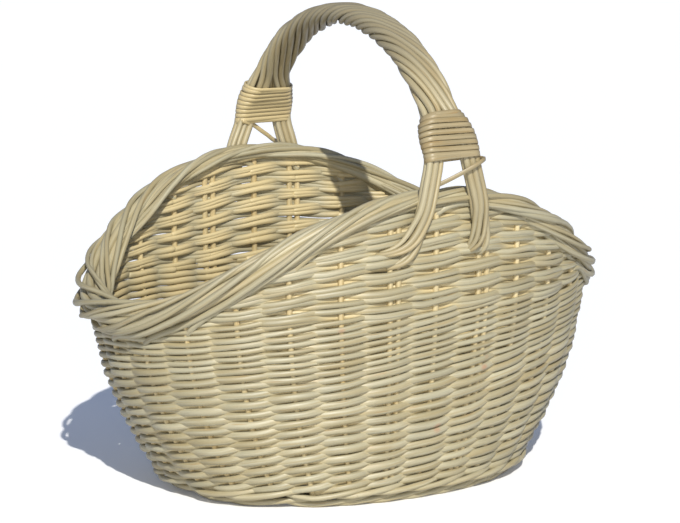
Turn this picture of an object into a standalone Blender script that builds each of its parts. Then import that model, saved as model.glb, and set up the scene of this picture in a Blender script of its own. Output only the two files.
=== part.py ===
"""Oval willow gift basket with a roped handle.

Stakes stand round a slotted stick base and are woven with paired rods. The
rim rises from the two ends to the middle of each side, where the handle stands.
All sizes are in metres, +Z is up, X is the long way and the floor is at z = 0.
"""

import math

import bmesh
import bpy
from mathutils import Vector

# Wall, measured at the middle of the stakes
BASE_LENGTH = 0.267
BASE_WIDTH = 0.204
WALL_LENGTH = 0.400
WALL_WIDTH = 0.260
BULGE_HEIGHT = 0.180
BULGE_POWER = 2.2
OVAL_POWER = 2.16

# Rim: height of the border's middle at the ends and at the sides
LOW_RIM = 0.142
HIGH_RIM = 0.230
RIM_RISE_POWER = 1.4

# Rods
STAKE_COUNT = 28
STAKE = 0.0054
WEAVER_THICKNESS = 0.0044
WEAVER_HEIGHT = 0.0072
ROW_PITCH = 0.0086
GAP = 0.00035
ROD_SIDES = 6
SHARP_EDGE = 50.0
STAKE_STEP = 0.0245

# Base
LONG_STICK = 0.0052
LONG_STICKS = 3
CROSS_STICK = 0.0082
CROSS_STICKS = 5
CROSS_SPACING = 0.0200
BASE_WEAVER = 0.0038
BASE_ROW_PITCH = 0.0074
BASE_FIRST_SPACING = 0.0200
STAKE_ROOT = 0.0090
STAKE_BEND = 0.0045
WALE = 0.0052
FOOT_ROD = 0.0074
FOOT_CUT = 0.0003

# Border, a rope of four strands that is thick at the ends and thin at the sides
BORDER_STRANDS = 4
BORDER_END_HEIGHT = 0.030
BORDER_END_DEPTH = 0.029
BORDER_SIDE_HEIGHT = 0.0175
BORDER_SIDE_DEPTH = 0.021
BORDER_THINNING_POWER = 3
BORDER_STEPS = 2
ROLL_RING = 0.318
ROLL_STRAND = 0.318

# Handle
HANDLE_NEAR_OFFSET = 0.0035
HANDLE_FAR_OFFSET = 0.0155
HANDLE_TOP = 0.351
ARCH_STEPS = 30
HANDLE_RODS = 8
HANDLE_ROD = 0.0051
ROPE_TURNS = 2
ROPE_ROUND = 0.0045
ROPE_ROD_SPACING = 0.0070
ROPE_EVENNESS = 0.3
LEG_SPREAD = 0.0100
LEG_SPREAD_AT_RIM = 0.0140
LEG_SPREAD_BELOW_RIM = 0.0180
LEG_SPREAD_AT_TIP = 0.0260
LEG_BELOW_RIM = 0.048
LEG_TIP_TAPER = 0.6
NEAR_LEG_SETTLE = 0.0020
FAR_LEG_SETTLE = 0.0005

# Binding: turns of willow skein round both halves of the handle
BINDING_ABOVE_RIM = 0.023
SKEIN_WIDTH = 0.0032
SKEIN_THICKNESS = 0.0018
BINDING_TURNS = 8
BINDING_PITCH = 0.0041
LOOP_POINTS = 24
TIE = 0.0036
TIE_DROP = 0.019
TIE_PAST_LEG = 0.0048

# Sizes that follow from the ones above
FOOT_TOP = FOOT_ROD * math.sqrt(3) / 2 - FOOT_CUT
STICK_LEVEL = FOOT_TOP + GAP + STAKE / 2
BINDING_LENGTH = BINDING_TURNS * BINDING_PITCH
ROPE_FLAT = (HANDLE_RODS * ROPE_ROD_SPACING - 2 * math.pi * ROPE_ROUND) / 2
ROPE_HALF_THICKNESS = ROPE_ROUND + HANDLE_ROD / 2
LEG_MIDDLE = ROPE_FLAT / 4 + ROPE_ROUND * 0.75
BORDER_REACH = ROLL_RING * BORDER_SIDE_DEPTH + ROLL_STRAND * BORDER_SIDE_HEIGHT / 2
HANDLE_HALF_SPAN = WALL_WIDTH / 2 + BORDER_REACH + GAP + ROPE_HALF_THICKNESS

# Materials: colour, roughness, metallic
FINISHES = {
    "weaver_willow": ((0.62, 0.54, 0.34), 0.55, 0.0),
    "stake_willow": ((0.64, 0.50, 0.27), 0.55, 0.0),
    "border_willow": ((0.58, 0.51, 0.32), 0.52, 0.0),
    "handle_willow": ((0.50, 0.45, 0.29), 0.50, 0.0),
    "binding_skein": ((0.60, 0.46, 0.24), 0.45, 0.0),
    "base_willow": ((0.52, 0.43, 0.25), 0.60, 0.0),
}


def clear_scene():
    """Remove whatever the file holds."""
    for old in list(bpy.data.objects):
        bpy.data.objects.remove(old, do_unlink=True)


def finish(name):
    """The material of this name."""
    material = bpy.data.materials.get(name)
    if material is None:
        colour, roughness, metallic = FINISHES[name]
        material = bpy.data.materials.new(name)
        material.use_nodes = True
        shader = material.node_tree.nodes["Principled BSDF"]
        shader.inputs["Base Color"].default_value = (*colour, 1.0)
        shader.inputs["Roughness"].default_value = roughness
        shader.inputs["Metallic"].default_value = metallic
        material.diffuse_color = (*colour, 1.0)
    return material


def round_section(diameter, sides=ROD_SIDES):
    """Corners of a rod's section, with a flat below and above."""
    step = 2 * math.pi / sides
    return [(diameter / 2 * math.cos(step * k), diameter / 2 * math.sin(step * k)) for k in range(sides)]


def oval_section(thickness, height, sides=ROD_SIDES):
    """Corners of two rods laid together, wider up the wall than through it."""
    return [(x * thickness, y * height) for x, y in round_section(1.0, sides)]


def tangents(route, closed):
    """Direction of travel at each point of a route."""
    count = len(route)
    found = []
    for k in range(count):
        after = route[(k + 1) % count] if closed else route[min(k + 1, count - 1)]
        before = route[k - 1] if closed else route[max(k - 1, 0)]
        found.append((after - before).normalized())
    return found


def carried_outward(directions, start):
    """Outward vectors carried along an open route without twist."""
    outward = (start - start.dot(directions[0]) * directions[0]).normalized()
    found = [outward]
    for before, after in zip(directions, directions[1:]):
        outward = before.rotation_difference(after) @ outward
        outward = (outward - outward.dot(after) * after).normalized()
        found.append(outward)
    return found


def rod(name, route, section, material, outward, closed=False, thickness=None):
    """Sweep a section along a route. outward is one vector, or one for each point."""
    directions = tangents(route, closed)
    if isinstance(outward, Vector):
        outward = carried_outward(directions, outward)
    sizes = thickness or [1.0] * len(route)
    bm = bmesh.new()
    rings = []
    for point, along, out, size in zip(route, directions, outward, sizes):
        out = (out - out.dot(along) * along).normalized()
        up = along.cross(out)
        rings.append([bm.verts.new(point + size * (x * out + y * up)) for x, y in section])
    pairs = list(zip(rings, rings[1:]))
    if closed:
        pairs.append((rings[-1], rings[0]))
    count = len(section)
    for one, two in pairs:
        for k in range(count):
            corner = (k + 1) % count
            bm.faces.new((one[k], one[corner], two[corner], two[k]))
    if not closed:
        bm.faces.new(list(reversed(rings[0])))
        bm.faces.new(rings[-1])
    bmesh.ops.recalc_face_normals(bm, faces=bm.faces[:])
    return add_piece(name, bm, material)


def add_piece(name, bm, material):
    """Turn a bmesh into a named object."""
    mesh = bpy.data.meshes.new(name)
    bm.to_mesh(mesh)
    bm.free()
    mesh.materials.append(finish(material))
    mesh.shade_smooth()
    mesh.set_sharp_from_angle(angle=math.radians(SHARP_EDGE))
    piece = bpy.data.objects.new(name, mesh)
    bpy.context.scene.collection.objects.link(piece)
    return piece


# The wall's surface

def flare(height):
    """How far the wall has opened from the base's size to the full size."""
    return 1 - (1 - min(max(height, 0.0) / BULGE_HEIGHT, 1.0)) ** BULGE_POWER


def half_sizes(height):
    """Half length and half width of the wall at a height."""
    grown = flare(height)
    length = BASE_LENGTH + (WALL_LENGTH - BASE_LENGTH) * grown
    width = BASE_WIDTH + (WALL_WIDTH - BASE_WIDTH) * grown
    return length / 2, width / 2


def oval_point(half_length, half_width, angle, height):
    """Point of an oval outline."""
    c, s = math.cos(angle), math.sin(angle)
    x = half_length * math.copysign(abs(c) ** (2 / OVAL_POWER), c)
    y = half_width * math.copysign(abs(s) ** (2 / OVAL_POWER), s)
    return Vector((x, y, height))


def wall_point(angle, height):
    """Point on the middle surface of the wall."""
    return oval_point(*half_sizes(height), angle, height)


def wall_outward(angle, height):
    """Outward normal of the wall."""
    turn, rise = 0.01, 0.001
    along = wall_point(angle + turn, height) - wall_point(angle - turn, height)
    up = wall_point(angle, height + rise) - wall_point(angle, max(height - rise, 0.0))
    return along.cross(up).normalized()


def level_outward(angle, height):
    """Outward direction of the wall, kept level."""
    out = wall_outward(angle, height)
    return Vector((out.x, out.y, 0.0)).normalized()


def even_angles(count, height, first=0.0):
    """Angles that part the wall's outline into equal lengths."""
    steps = 1440
    points = [wall_point(2 * math.pi * k / steps, height) for k in range(steps + 1)]
    run = [0.0]
    for before, after in zip(points, points[1:]):
        run.append(run[-1] + (after - before).length)
    angles = []
    mark = 0
    for k in range(count):
        wanted = run[-1] * (k + first) / count
        while run[mark + 1] < wanted:
            mark += 1
        part = (wanted - run[mark]) / (run[mark + 1] - run[mark])
        angles.append(2 * math.pi * (mark + part) / steps)
    return angles


STAKE_ANGLES = even_angles(STAKE_COUNT, LOW_RIM / 2)
STAKE_SPACING = (wall_point(STAKE_ANGLES[1], 0) - wall_point(STAKE_ANGLES[0], 0)).length


def side_rise(angle):
    """0 at the ends of the basket and 1 at the middle of its sides."""
    return math.sin(angle) ** 2


def rim_height(angle):
    """Height of the middle of the border."""
    return LOW_RIM + (HIGH_RIM - LOW_RIM) * side_rise(angle) ** RIM_RISE_POWER


def border_size(angle):
    """Height and depth of the border."""
    thin = side_rise(angle) ** BORDER_THINNING_POWER
    height = BORDER_END_HEIGHT + (BORDER_SIDE_HEIGHT - BORDER_END_HEIGHT) * thin
    depth = BORDER_END_DEPTH + (BORDER_SIDE_DEPTH - BORDER_END_DEPTH) * thin
    return height, depth


def border_underside(angle):
    """Height of the flat underside of the strand that is lowest at a stake."""
    height, depth = border_size(angle)
    return rim_height(angle) - ROLL_RING * height - ROLL_STRAND * min(height, depth) * math.sqrt(3) / 4


def rim_slope(angle):
    """Rise of the rim for each metre along it."""
    turn = 0.01
    before = wall_point(angle - turn, LOW_RIM)
    after = wall_point(angle + turn, LOW_RIM)
    return abs(rim_height(angle + turn) - rim_height(angle - turn)) / (after - before).length


def weaving_reach():
    """Distance from a stake's middle to that of a weaver passing it."""
    touching = (STAKE + WEAVER_THICKNESS) / 2 + GAP
    return touching / math.cos(math.atan(2 * touching / STAKE_SPACING))


# Base

def base_edge():
    """Half sizes of the oval on which the sticks end, just inside the ends of the stakes."""
    inset = STAKE_BEND + STAKE_ROOT + GAP
    return tuple(size - inset for size in half_sizes(STICK_LEVEL))


def stick_end_angles():
    """Angles of the ends of all sticks round the base, counted from +X."""
    return even_angles(2 * (LONG_STICKS + CROSS_STICKS), 0.0, first=0.0)


def fanned_stick(start, end, slath_start, slath_end):
    """Route of a stick that is straight in the middle and fans out to its ends."""
    near_start = slath_start + CROSS_STICK * (start - slath_start).normalized()
    near_end = slath_end + CROSS_STICK * (end - slath_end).normalized()
    return [start, near_start, slath_start, slath_end, near_end, end]


def stick_ends():
    """End points of the long sticks and the cross sticks, as pairs."""
    half_length, half_width = base_edge()
    ends = [oval_point(half_length, half_width, a, STICK_LEVEL) for a in stick_end_angles()]
    count = len(ends)
    side = LONG_STICKS // 2
    long_pairs = [(ends[(count // 2 - k) % count], ends[k % count]) for k in range(-side, side + 1)]
    cross_pairs = [(ends[count - side - 1 - k], ends[side + 1 + k]) for k in range(CROSS_STICKS)]
    return long_pairs, cross_pairs


def long_stick_place(k):
    """Distance of a long stick from the middle of the base."""
    return (k - (LONG_STICKS - 1) / 2) * (LONG_STICK + GAP)


def cross_stick_place(k):
    """Place of a cross stick along the base."""
    return ((CROSS_STICKS - 1) / 2 - k) * CROSS_SPACING


def half_slot():
    """Half the length of the slit in a cross stick."""
    return (LONG_STICKS * (LONG_STICK + GAP) + GAP) / 2


def slath_corner():
    """Half length and half width of the middle where the sticks cross."""
    return cross_stick_place(0) + CROSS_STICK / 2 + GAP, half_slot() + CROSS_STICK / 2


def stick_arms():
    """Straight arms of all sticks, from the middle to their ends, in order round the base."""
    long_pairs, cross_pairs = stick_ends()
    reach, breadth = slath_corner()
    arms = []
    for k, (left, right) in enumerate(long_pairs):
        y = long_stick_place(k)
        arms.append((Vector((-reach, y, STICK_LEVEL)), left))
        arms.append((Vector((reach, y, STICK_LEVEL)), right))
    for k, (near, far) in enumerate(cross_pairs):
        x = cross_stick_place(k)
        arms.append((Vector((x, -breadth, STICK_LEVEL)), near))
        arms.append((Vector((x, breadth, STICK_LEVEL)), far))
    first = math.pi / len(arms)
    arms.sort(key=lambda arm: (math.atan2(arm[1].y, arm[1].x) + first) % (2 * math.pi))
    return arms


def arm_at_row(arm, inset):
    """Where a row of the base's weave crosses an arm."""
    half_length, half_width = (size - inset for size in base_edge())
    inner, outer = 0.0, 1.0
    for _ in range(30):
        middle = (inner + outer) / 2
        point = arm[0].lerp(arm[1], middle)
        size = (abs(point.x) / half_length) ** OVAL_POWER + (abs(point.y) / half_width) ** OVAL_POWER
        if size < 1:
            inner = middle
        else:
            outer = middle
    return arm[0].lerp(arm[1], outer)


def make_long_sticks():
    """The long sticks lie side by side through the slits of the cross sticks."""
    long_pairs, _ = stick_ends()
    reach, _ = slath_corner()
    for k, (left, right) in enumerate(long_pairs):
        y = long_stick_place(k)
        route = fanned_stick(left, right, Vector((-reach, y, STICK_LEVEL)), Vector((reach, y, STICK_LEVEL)))
        rod(f"base_long_stick_{k + 1}", route, round_section(LONG_STICK), "base_willow", Vector((0, 0, 1)))


def make_cross_sticks():
    """Each cross stick is slit at its middle, and the long sticks pass through the slit."""
    _, cross_pairs = stick_ends()
    _, breadth = slath_corner()
    tip = LONG_STICK / CROSS_STICK
    for k, (near, far) in enumerate(cross_pairs):
        x = cross_stick_place(k)
        route = fanned_stick(near, far, Vector((x, -breadth, STICK_LEVEL)), Vector((x, breadth, STICK_LEVEL)))
        stick = rod(
            f"base_cross_stick_{k + 1}", route, round_section(CROSS_STICK), "base_willow",
            Vector((1, 0, 0)), thickness=[tip, tip, 1, 1, tip, tip],
        )
        cut_slot(stick, x)


def cut_slot(stick, x):
    """Cut the slit for the long sticks."""
    bm = bmesh.new()
    bmesh.ops.create_cube(bm, size=1.0)
    bmesh.ops.scale(bm, verts=bm.verts[:], vec=(2 * CROSS_STICK, 2 * half_slot(), LONG_STICK + 2 * GAP))
    bmesh.ops.translate(bm, verts=bm.verts[:], vec=(x, 0.0, STICK_LEVEL))
    cutter = add_piece(stick.name + "_slot_cutter", bm, "base_willow")
    cutter.hide_render = True
    cutter.display_type = "WIRE"
    cut = stick.modifiers.new("slot", "BOOLEAN")
    cut.operation = "DIFFERENCE"
    cut.solver = "EXACT"
    cut.object = cutter


def passing_reach(touching, spacing):
    """Height at which a rod passes a stick, when it slopes down to pass the next one."""
    return touching / math.sqrt(1 - (2 * touching / spacing) ** 2)


def row_spacing(arms, inset):
    """Least distance between neighbouring arms at a row of the base."""
    points = [arm_at_row(arm, inset) for arm in arms]
    return min((a - b).length for a, b in zip(points, points[1:] + points[:1]))


def make_base_weave():
    """Two rods are paired round the sticks, one above a stick and one below it in turn."""
    arms = stick_arms()
    count = len(arms)
    touching = (LONG_STICK + BASE_WEAVER) / 2 + GAP
    rows = 1
    while row_spacing(arms, BASE_WEAVER / 2 + rows * BASE_ROW_PITCH) > BASE_FIRST_SPACING:
        rows += 1
    turns = rows // 2
    for weaver in range(2):
        route = []
        for step in range(turns * count + 1):
            inset = BASE_WEAVER / 2 + (2 * turns - 2 * step / count) * BASE_ROW_PITCH
            k = (step + weaver * count // 2) % count
            above = 1 if (k + weaver) % 2 == 0 else -1
            level = above * passing_reach(touching, row_spacing(arms, inset))
            route.append(arm_at_row(arms[k], inset) + Vector((0, 0, level)))
        rod(f"base_weave_{weaver + 1}", route, round_section(BASE_WEAVER, 4), "base_willow", Vector((0, 0, 1)))


def make_foot():
    """The lowest round carries the stakes' bends, and its underside is cut flat to stand on."""
    half_length, half_width = half_sizes(STICK_LEVEL)
    level = FOOT_TOP - FOOT_ROD * math.sqrt(3) / 4
    outward = [level_outward(angle, 0.0) for angle in STAKE_ANGLES]
    route = [
        oval_point(half_length, half_width, angle, level) - STAKE_BEND * out
        for angle, out in zip(STAKE_ANGLES, outward)
    ]
    foot = rod("foot_wale", route, round_section(FOOT_ROD), "weaver_willow", outward, closed=True)
    bm = bmesh.new()
    bm.from_mesh(foot.data)
    cut = bmesh.ops.bisect_plane(
        bm, geom=bm.verts[:] + bm.edges[:] + bm.faces[:],
        plane_co=(0, 0, 0), plane_no=(0, 0, 1), clear_inner=True,
    )
    rims = [e for e in cut["geom_cut"] if isinstance(e, bmesh.types.BMEdge)]
    bmesh.ops.bridge_loops(bm, edges=rims)
    bmesh.ops.recalc_face_normals(bm, faces=bm.faces[:])
    bm.to_mesh(foot.data)
    bm.free()


# Stakes

def make_stakes():
    """Each stake starts at the edge of the base, is kinked up and ends under the border."""
    for k, angle in enumerate(STAKE_ANGLES):
        out = level_outward(angle, 0.0)
        foot = wall_point(angle, STICK_LEVEL)
        route = [foot - (STAKE_ROOT + STAKE_BEND) * out, foot - STAKE_BEND * out]
        start = STICK_LEVEL + STAKE_BEND
        top = border_underside(angle) - GAP - rim_slope(angle) * STAKE / 2
        steps = max(3, round((top - start) / STAKE_STEP))
        for step in range(steps + 1):
            route.append(wall_point(angle, start + (top - start) * step / steps))
        rod(f"stake_{k + 1:02d}", route, round_section(STAKE), "stake_willow", Vector((0, 0, -1)))


# Weave of the wall

def woven_point(k, side, height):
    """Point where a weaver passes a stake, outside it for side 1 and inside for -1."""
    angle = STAKE_ANGLES[k % STAKE_COUNT]
    return wall_point(angle, height) + side * weaving_reach() * wall_outward(angle, height)


def upset_height():
    """Height on the wall of the round that turns the stakes up."""
    return STICK_LEVEL + STAKE_BEND


def first_row_height():
    """Height of the lowest row of the wall's weave."""
    return upset_height() + WALE / 2 + WEAVER_HEIGHT / 2 + GAP


def full_row_count():
    """Rows that go all the way round, an even number."""
    room = border_underside(0.0) - WEAVER_HEIGHT / 2 - GAP - first_row_height()
    return 2 * int(room / ROW_PITCH / 2)


def make_upset():
    """A round outside all the stakes where they turn up."""
    touching = (STAKE + WALE) / 2 + GAP
    outward = [wall_outward(angle, upset_height()) for angle in STAKE_ANGLES]
    route = [wall_point(angle, upset_height()) + touching * out for angle, out in zip(STAKE_ANGLES, outward)]
    rod("upset_wale", route, round_section(WALE), "weaver_willow", outward, closed=True)


def make_wall_weave():
    """Two weavers chase each other round the wall, each outside every second stake."""
    rows = full_row_count()
    section = oval_section(WEAVER_THICKNESS, WEAVER_HEIGHT)
    for weaver in range(2):
        route, outward = [], []
        for step in range(rows // 2 * STAKE_COUNT + 1):
            k = step + weaver * STAKE_COUNT // 2
            height = first_row_height() + 2 * ROW_PITCH * step / STAKE_COUNT
            side = 1 if (k + weaver) % 2 == 0 else -1
            route.append(woven_point(k, side, height))
            outward.append(wall_outward(STAKE_ANGLES[k % STAKE_COUNT], height))
        rod(f"wall_weave_{weaver + 1}", route, section, "weaver_willow", outward)


def row_limit(middle, height, direction):
    """Last stake on one side of the middle that leaves room for a row under the border."""
    k = middle
    while True:
        angle = STAKE_ANGLES[(k + direction) % STAKE_COUNT]
        if border_underside(angle) < height + WEAVER_HEIGHT / 2 + GAP:
            return k
        k += direction
        if abs(k - middle) == STAKE_COUNT // 4 - 1:
            return k


def make_side_packing():
    """Short rows raise each side: one rod goes to and fro, round its last stake at each end."""
    start = first_row_height() + full_row_count() * ROW_PITCH
    section = oval_section(WEAVER_THICKNESS, WEAVER_HEIGHT)
    turn_steps = 4
    turn_reach = weaving_reach() / math.cos(math.pi / turn_steps / 2)
    for name, middle in (("back", STAKE_COUNT // 4), ("front", 3 * STAKE_COUNT // 4)):
        peak = border_underside(STAKE_ANGLES[middle]) - WEAVER_HEIGHT / 2 - GAP
        rows = int((peak - start) / ROW_PITCH)
        route, outward = [], []
        direction, facing = 1, 1
        position = row_limit(middle, start + ROW_PITCH, -1)
        for row in range(rows):
            height = start + (row + 1) * ROW_PITCH
            last = row_limit(middle, height + (ROW_PITCH if row + 1 < rows else 0), direction)
            for k in range(position, last + direction, direction):
                side = 1 if (k + row) % 2 == 0 else -1
                route.append(woven_point(k, side, height))
                outward.append(facing * wall_outward(STAKE_ANGLES[k % STAKE_COUNT], height))
            if row + 1 == rows:
                break
            side = 1 if (last + row) % 2 == 0 else -1
            angle = STAKE_ANGLES[last % STAKE_COUNT]
            for step in range(1, turn_steps):
                turned = math.pi * step / turn_steps
                level = height + ROW_PITCH * step / turn_steps
                out = wall_outward(angle, level)
                along = Vector((0, 0, 1)).cross(out).normalized() * direction
                away = side * math.cos(turned) * out + math.sin(turned) * along
                route.append(wall_point(angle, level) + turn_reach * away)
                outward.append(facing * side * away)
            position = last
            direction = -direction
            facing = -facing
        rod(f"side_packing_{name}", route, section, "weaver_willow", outward)


# Border

def make_border():
    """Four strands roll round the rim, a quarter turn from each stake to the next."""
    steps = STAKE_COUNT * BORDER_STEPS
    for strand in range(BORDER_STRANDS):
        route, outward, sizes = [], [], []
        for step in range(steps):
            k = step // BORDER_STEPS
            low, high = STAKE_ANGLES[k], STAKE_ANGLES[(k + 1) % STAKE_COUNT]
            if high < low:
                high += 2 * math.pi
            angle = low + (high - low) * (step % BORDER_STEPS) / BORDER_STEPS
            height, depth = border_size(angle)
            roll = 2 * math.pi * (strand + step / BORDER_STEPS) / BORDER_STRANDS
            out = level_outward(angle, rim_height(angle))
            shift = ROLL_RING * depth * math.cos(roll) * out
            shift.z = ROLL_RING * height * math.sin(roll)
            route.append(wall_point(angle, rim_height(angle)) + shift)
            outward.append(out)
            sizes.append(ROLL_STRAND * min(height, depth))
        rod(
            f"border_strand_{strand + 1}", route, round_section(1.0), "border_willow",
            outward, closed=True, thickness=sizes,
        )


# Handle

def handle_line():
    """Points of the handle's middle, a half oval set slightly askew that springs from beside the border."""
    fine = 720
    line = []
    for k in range(fine + 1):
        turn = math.pi * k / fine
        across = (1 - math.cos(turn)) / 2
        x = HANDLE_NEAR_OFFSET + (HANDLE_FAR_OFFSET - HANDLE_NEAR_OFFSET) * across
        rise = (HANDLE_TOP - HIGH_RIM) * math.sin(turn)
        line.append(Vector((x, -HANDLE_HALF_SPAN * math.cos(turn), HIGH_RIM + rise)))
    run = [0.0]
    for before, after in zip(line, line[1:]):
        run.append(run[-1] + (after - before).length)
    return line, run


HANDLE_LINE, HANDLE_RUN = handle_line()
HANDLE_LENGTH = HANDLE_RUN[-1]
ROPE_START = BINDING_ABOVE_RIM + BINDING_LENGTH


def on_handle(distance):
    """Middle and outward direction at a distance along the handle line."""
    distance = min(max(distance, 0.0), HANDLE_LENGTH)
    low, high = 0, len(HANDLE_RUN) - 1
    while high - low > 1:
        middle = (low + high) // 2
        if HANDLE_RUN[middle] <= distance:
            low = middle
        else:
            high = middle
    part = (distance - HANDLE_RUN[low]) / (HANDLE_RUN[high] - HANDLE_RUN[low])
    centre = HANDLE_LINE[low].lerp(HANDLE_LINE[high], part)
    along = (HANDLE_LINE[high] - HANDLE_LINE[low]).normalized()
    outward = Vector((1, 0, 0)).cross(along).normalized()
    return centre, outward


def above_end(height, far):
    """Middle and outward direction at a length above the near or the far end of the handle line."""
    return on_handle(HANDLE_LENGTH - height if far else height)


def flat_ring(part, flat, radius):
    """Point of a ring with two straight sides and round ends, at a part of its length."""
    half = flat + math.pi * radius
    distance = (part % 1.0) * 2 * half
    mirrored = distance >= half
    if mirrored:
        distance -= half
    quarter = math.pi * radius / 2
    if distance < quarter:
        angle = distance / radius
        x, y = flat / 2 + radius * math.cos(angle), radius * math.sin(angle)
    elif distance < quarter + flat:
        x, y = flat / 2 - (distance - quarter), radius
    else:
        angle = math.pi / 2 + (distance - quarter - flat) / radius
        x, y = -flat / 2 + radius * math.cos(angle), radius * math.sin(angle)
    return (-x, -y) if mirrored else (x, y)


def smooth(part):
    """Ease from 0 to 1."""
    part = min(max(part, 0.0), 1.0)
    return part * part * (3 - 2 * part)


def half_spread(distance):
    """How far each half of the handle stands out sideways, from the rim to the binding's top."""
    from_end = min(distance, HANDLE_LENGTH - distance)
    if from_end < BINDING_ABOVE_RIM:
        return LEG_SPREAD_AT_RIM + (LEG_SPREAD - LEG_SPREAD_AT_RIM) * from_end / BINDING_ABOVE_RIM
    return LEG_SPREAD * (1 - min((from_end - BINDING_ABOVE_RIM) / BINDING_LENGTH, 1.0))


def wall_face(x, height):
    """Distance of the wall's middle from the X axis at a place along the side."""
    half_length, half_width = half_sizes(height)
    return half_width * (1 - (abs(x) / half_length) ** OVAL_POWER) ** (1 / OVAL_POWER)


def leg_points(half, far):
    """Middle of one leg beside the border, below it and at its tip."""
    offset = HANDLE_FAR_OFFSET if far else HANDLE_NEAR_OFFSET
    side = 1 if far else -1
    settle = FAR_LEG_SETTLE if far else NEAR_LEG_SETTLE
    woven_face = weaving_reach() + WEAVER_THICKNESS / 2 + GAP + ROPE_HALF_THICKNESS - settle
    below = HIGH_RIM - BORDER_SIDE_HEIGHT / 2 - LEG_BELOW_RIM / 4
    tip = HIGH_RIM - LEG_BELOW_RIM
    points = []
    for height, spread in ((below, LEG_SPREAD_BELOW_RIM), (tip, LEG_SPREAD_AT_TIP)):
        x = offset + half * (LEG_MIDDLE + spread)
        points.append(Vector((x, side * (wall_face(x, height) + woven_face), height)))
    beside = Vector((offset + half * (LEG_MIDDLE + LEG_SPREAD_AT_RIM), side * HANDLE_HALF_SPAN, HIGH_RIM))
    return [beside] + points


def curve_through(points, steps):
    """Smooth curve through points, with level tangents at its ends."""
    padded = [2 * points[0] - points[1]] + list(points) + [2 * points[-1] - points[-2]]
    found = []
    for k in range(1, len(padded) - 2):
        a, b, c, d = padded[k - 1:k + 3]
        for step in range(steps):
            t = step / steps
            found.append(0.5 * (2 * b + (c - a) * t + (2 * a - 5 * b + 4 * c - d) * t ** 2
                                + (3 * b - a - 3 * c + d) * t ** 3))
    found.append(points[-1])
    return found


def make_handle_rods():
    """Eight rods are twisted over the arch and part into two legs at each end."""
    rope_length = HANDLE_LENGTH - 2 * ROPE_START
    rope = [ROPE_START + rope_length * s / ARCH_STEPS for s in range(ARCH_STEPS + 1)]
    ends = [0.0, BINDING_ABOVE_RIM / 2, BINDING_ABOVE_RIM, BINDING_ABOVE_RIM + BINDING_LENGTH / 2]
    distances = ends + rope + [HANDLE_LENGTH - distance for distance in reversed(ends)]
    for k in range(HANDLE_RODS):
        part = (k + 0.5) / HANDLE_RODS
        x0, r0 = flat_ring(part, ROPE_FLAT, ROPE_ROUND)
        half = 1 if x0 > 0 else -1
        from_middle = x0 - half * LEG_MIDDLE
        near_leg, far_leg = [
            [p + Vector((from_middle, side * r0, 0)) for p in curve_through(leg_points(half, far), 3)[1:]]
            for side, far in ((-1, False), (1, True))
        ]
        near_leg.reverse()
        route = list(near_leg)
        facing = [Vector((0, -1, 0))] * len(near_leg)
        for distance in distances:
            along = min(max((distance - ROPE_START) / rope_length, 0.0), 1.0)
            wound = along - ROPE_EVENNESS * math.sin(2 * math.pi * along) / (2 * math.pi)
            x, r = flat_ring(part + ROPE_TURNS * wound, ROPE_FLAT, ROPE_ROUND)
            centre, outward = on_handle(distance)
            route.append(centre + Vector((x + half * half_spread(distance), 0, 0)) + r * outward)
            facing.append(outward)
        route += far_leg
        facing += [Vector((0, 1, 0))] * len(far_leg)
        slim = len(near_leg)
        sizes = [
            LEG_TIP_TAPER + (1 - LEG_TIP_TAPER) * smooth(min(n, len(route) - 1 - n) / slim)
            for n in range(len(route))
        ]
        rod(
            f"handle_rod_{k + 1}", route, round_section(HANDLE_ROD, 4), "handle_willow",
            facing, thickness=sizes,
        )


def make_binding(name, far):
    """Skein wound round both halves of the handle, and the least gap between its turns."""
    touching = ROPE_HALF_THICKNESS + SKEIN_THICKNESS / 2 + GAP
    widest_loop = 2 * (ROPE_FLAT + 2 * LEG_SPREAD) + 2 * math.pi * touching
    radius = touching / math.cos(widest_loop / LOOP_POINTS / touching / 2)
    loops = BINDING_TURNS - 1
    start = BINDING_ABOVE_RIM + (BINDING_LENGTH - loops * BINDING_PITCH) / 2
    route, outward = [], []
    for step in range(loops * LOOP_POINTS + 1):
        distance = start + BINDING_PITCH * step / LOOP_POINTS
        flat = ROPE_FLAT + 2 * half_spread(distance)
        x, r = flat_ring(0.25 + step / LOOP_POINTS, flat, radius)
        centre, out = above_end(distance, far)
        edge = max(abs(x) - flat / 2, 0.0)
        route.append(centre + Vector((x, 0, 0)) + r * out)
        outward.append(Vector((math.copysign(edge, x), 0, 0)) + r * out)
    first = (route[0] - route[1]).normalized() * SKEIN_WIDTH
    last = (route[-1] - route[-2]).normalized() * SKEIN_WIDTH
    route = [route[0] + first] + route + [route[-1] + last]
    outward = [outward[0]] + outward + [outward[-1]]
    least = min(
        (route[a] - route[b]).length
        for a in range(len(route))
        for b in range(a + LOOP_POINTS // 2, len(route))
    )
    print(f"{name}: least gap between turns {1000 * (least - SKEIN_WIDTH):.2f} mm")
    w, t = SKEIN_WIDTH / 2, SKEIN_THICKNESS / 2
    rod(name, route, [(t, w), (-t, w), (-t, -w), (t, -w)], "binding_skein", outward)


def make_tie(name, far):
    """A strip from one leg just under the binding down across the other leg."""
    face = ROPE_HALF_THICKNESS + TIE / 2 + GAP / 2
    top = BINDING_ABOVE_RIM - SKEIN_WIDTH / 2 - TIE / 2 - 2 * GAP
    low = max(top - TIE_DROP, TIE)
    route = []
    for half, distance in ((1, top), (-1, low)):
        centre, outward = above_end(distance, far)
        middle = half * (LEG_MIDDLE + half_spread(distance))
        for past in (TIE_PAST_LEG, -TIE_PAST_LEG):
            route.append(centre + Vector((middle + past, 0, 0)) + face * outward)
    rod(name, route, round_section(TIE), "binding_skein", Vector((0, 1, 0)))


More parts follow.
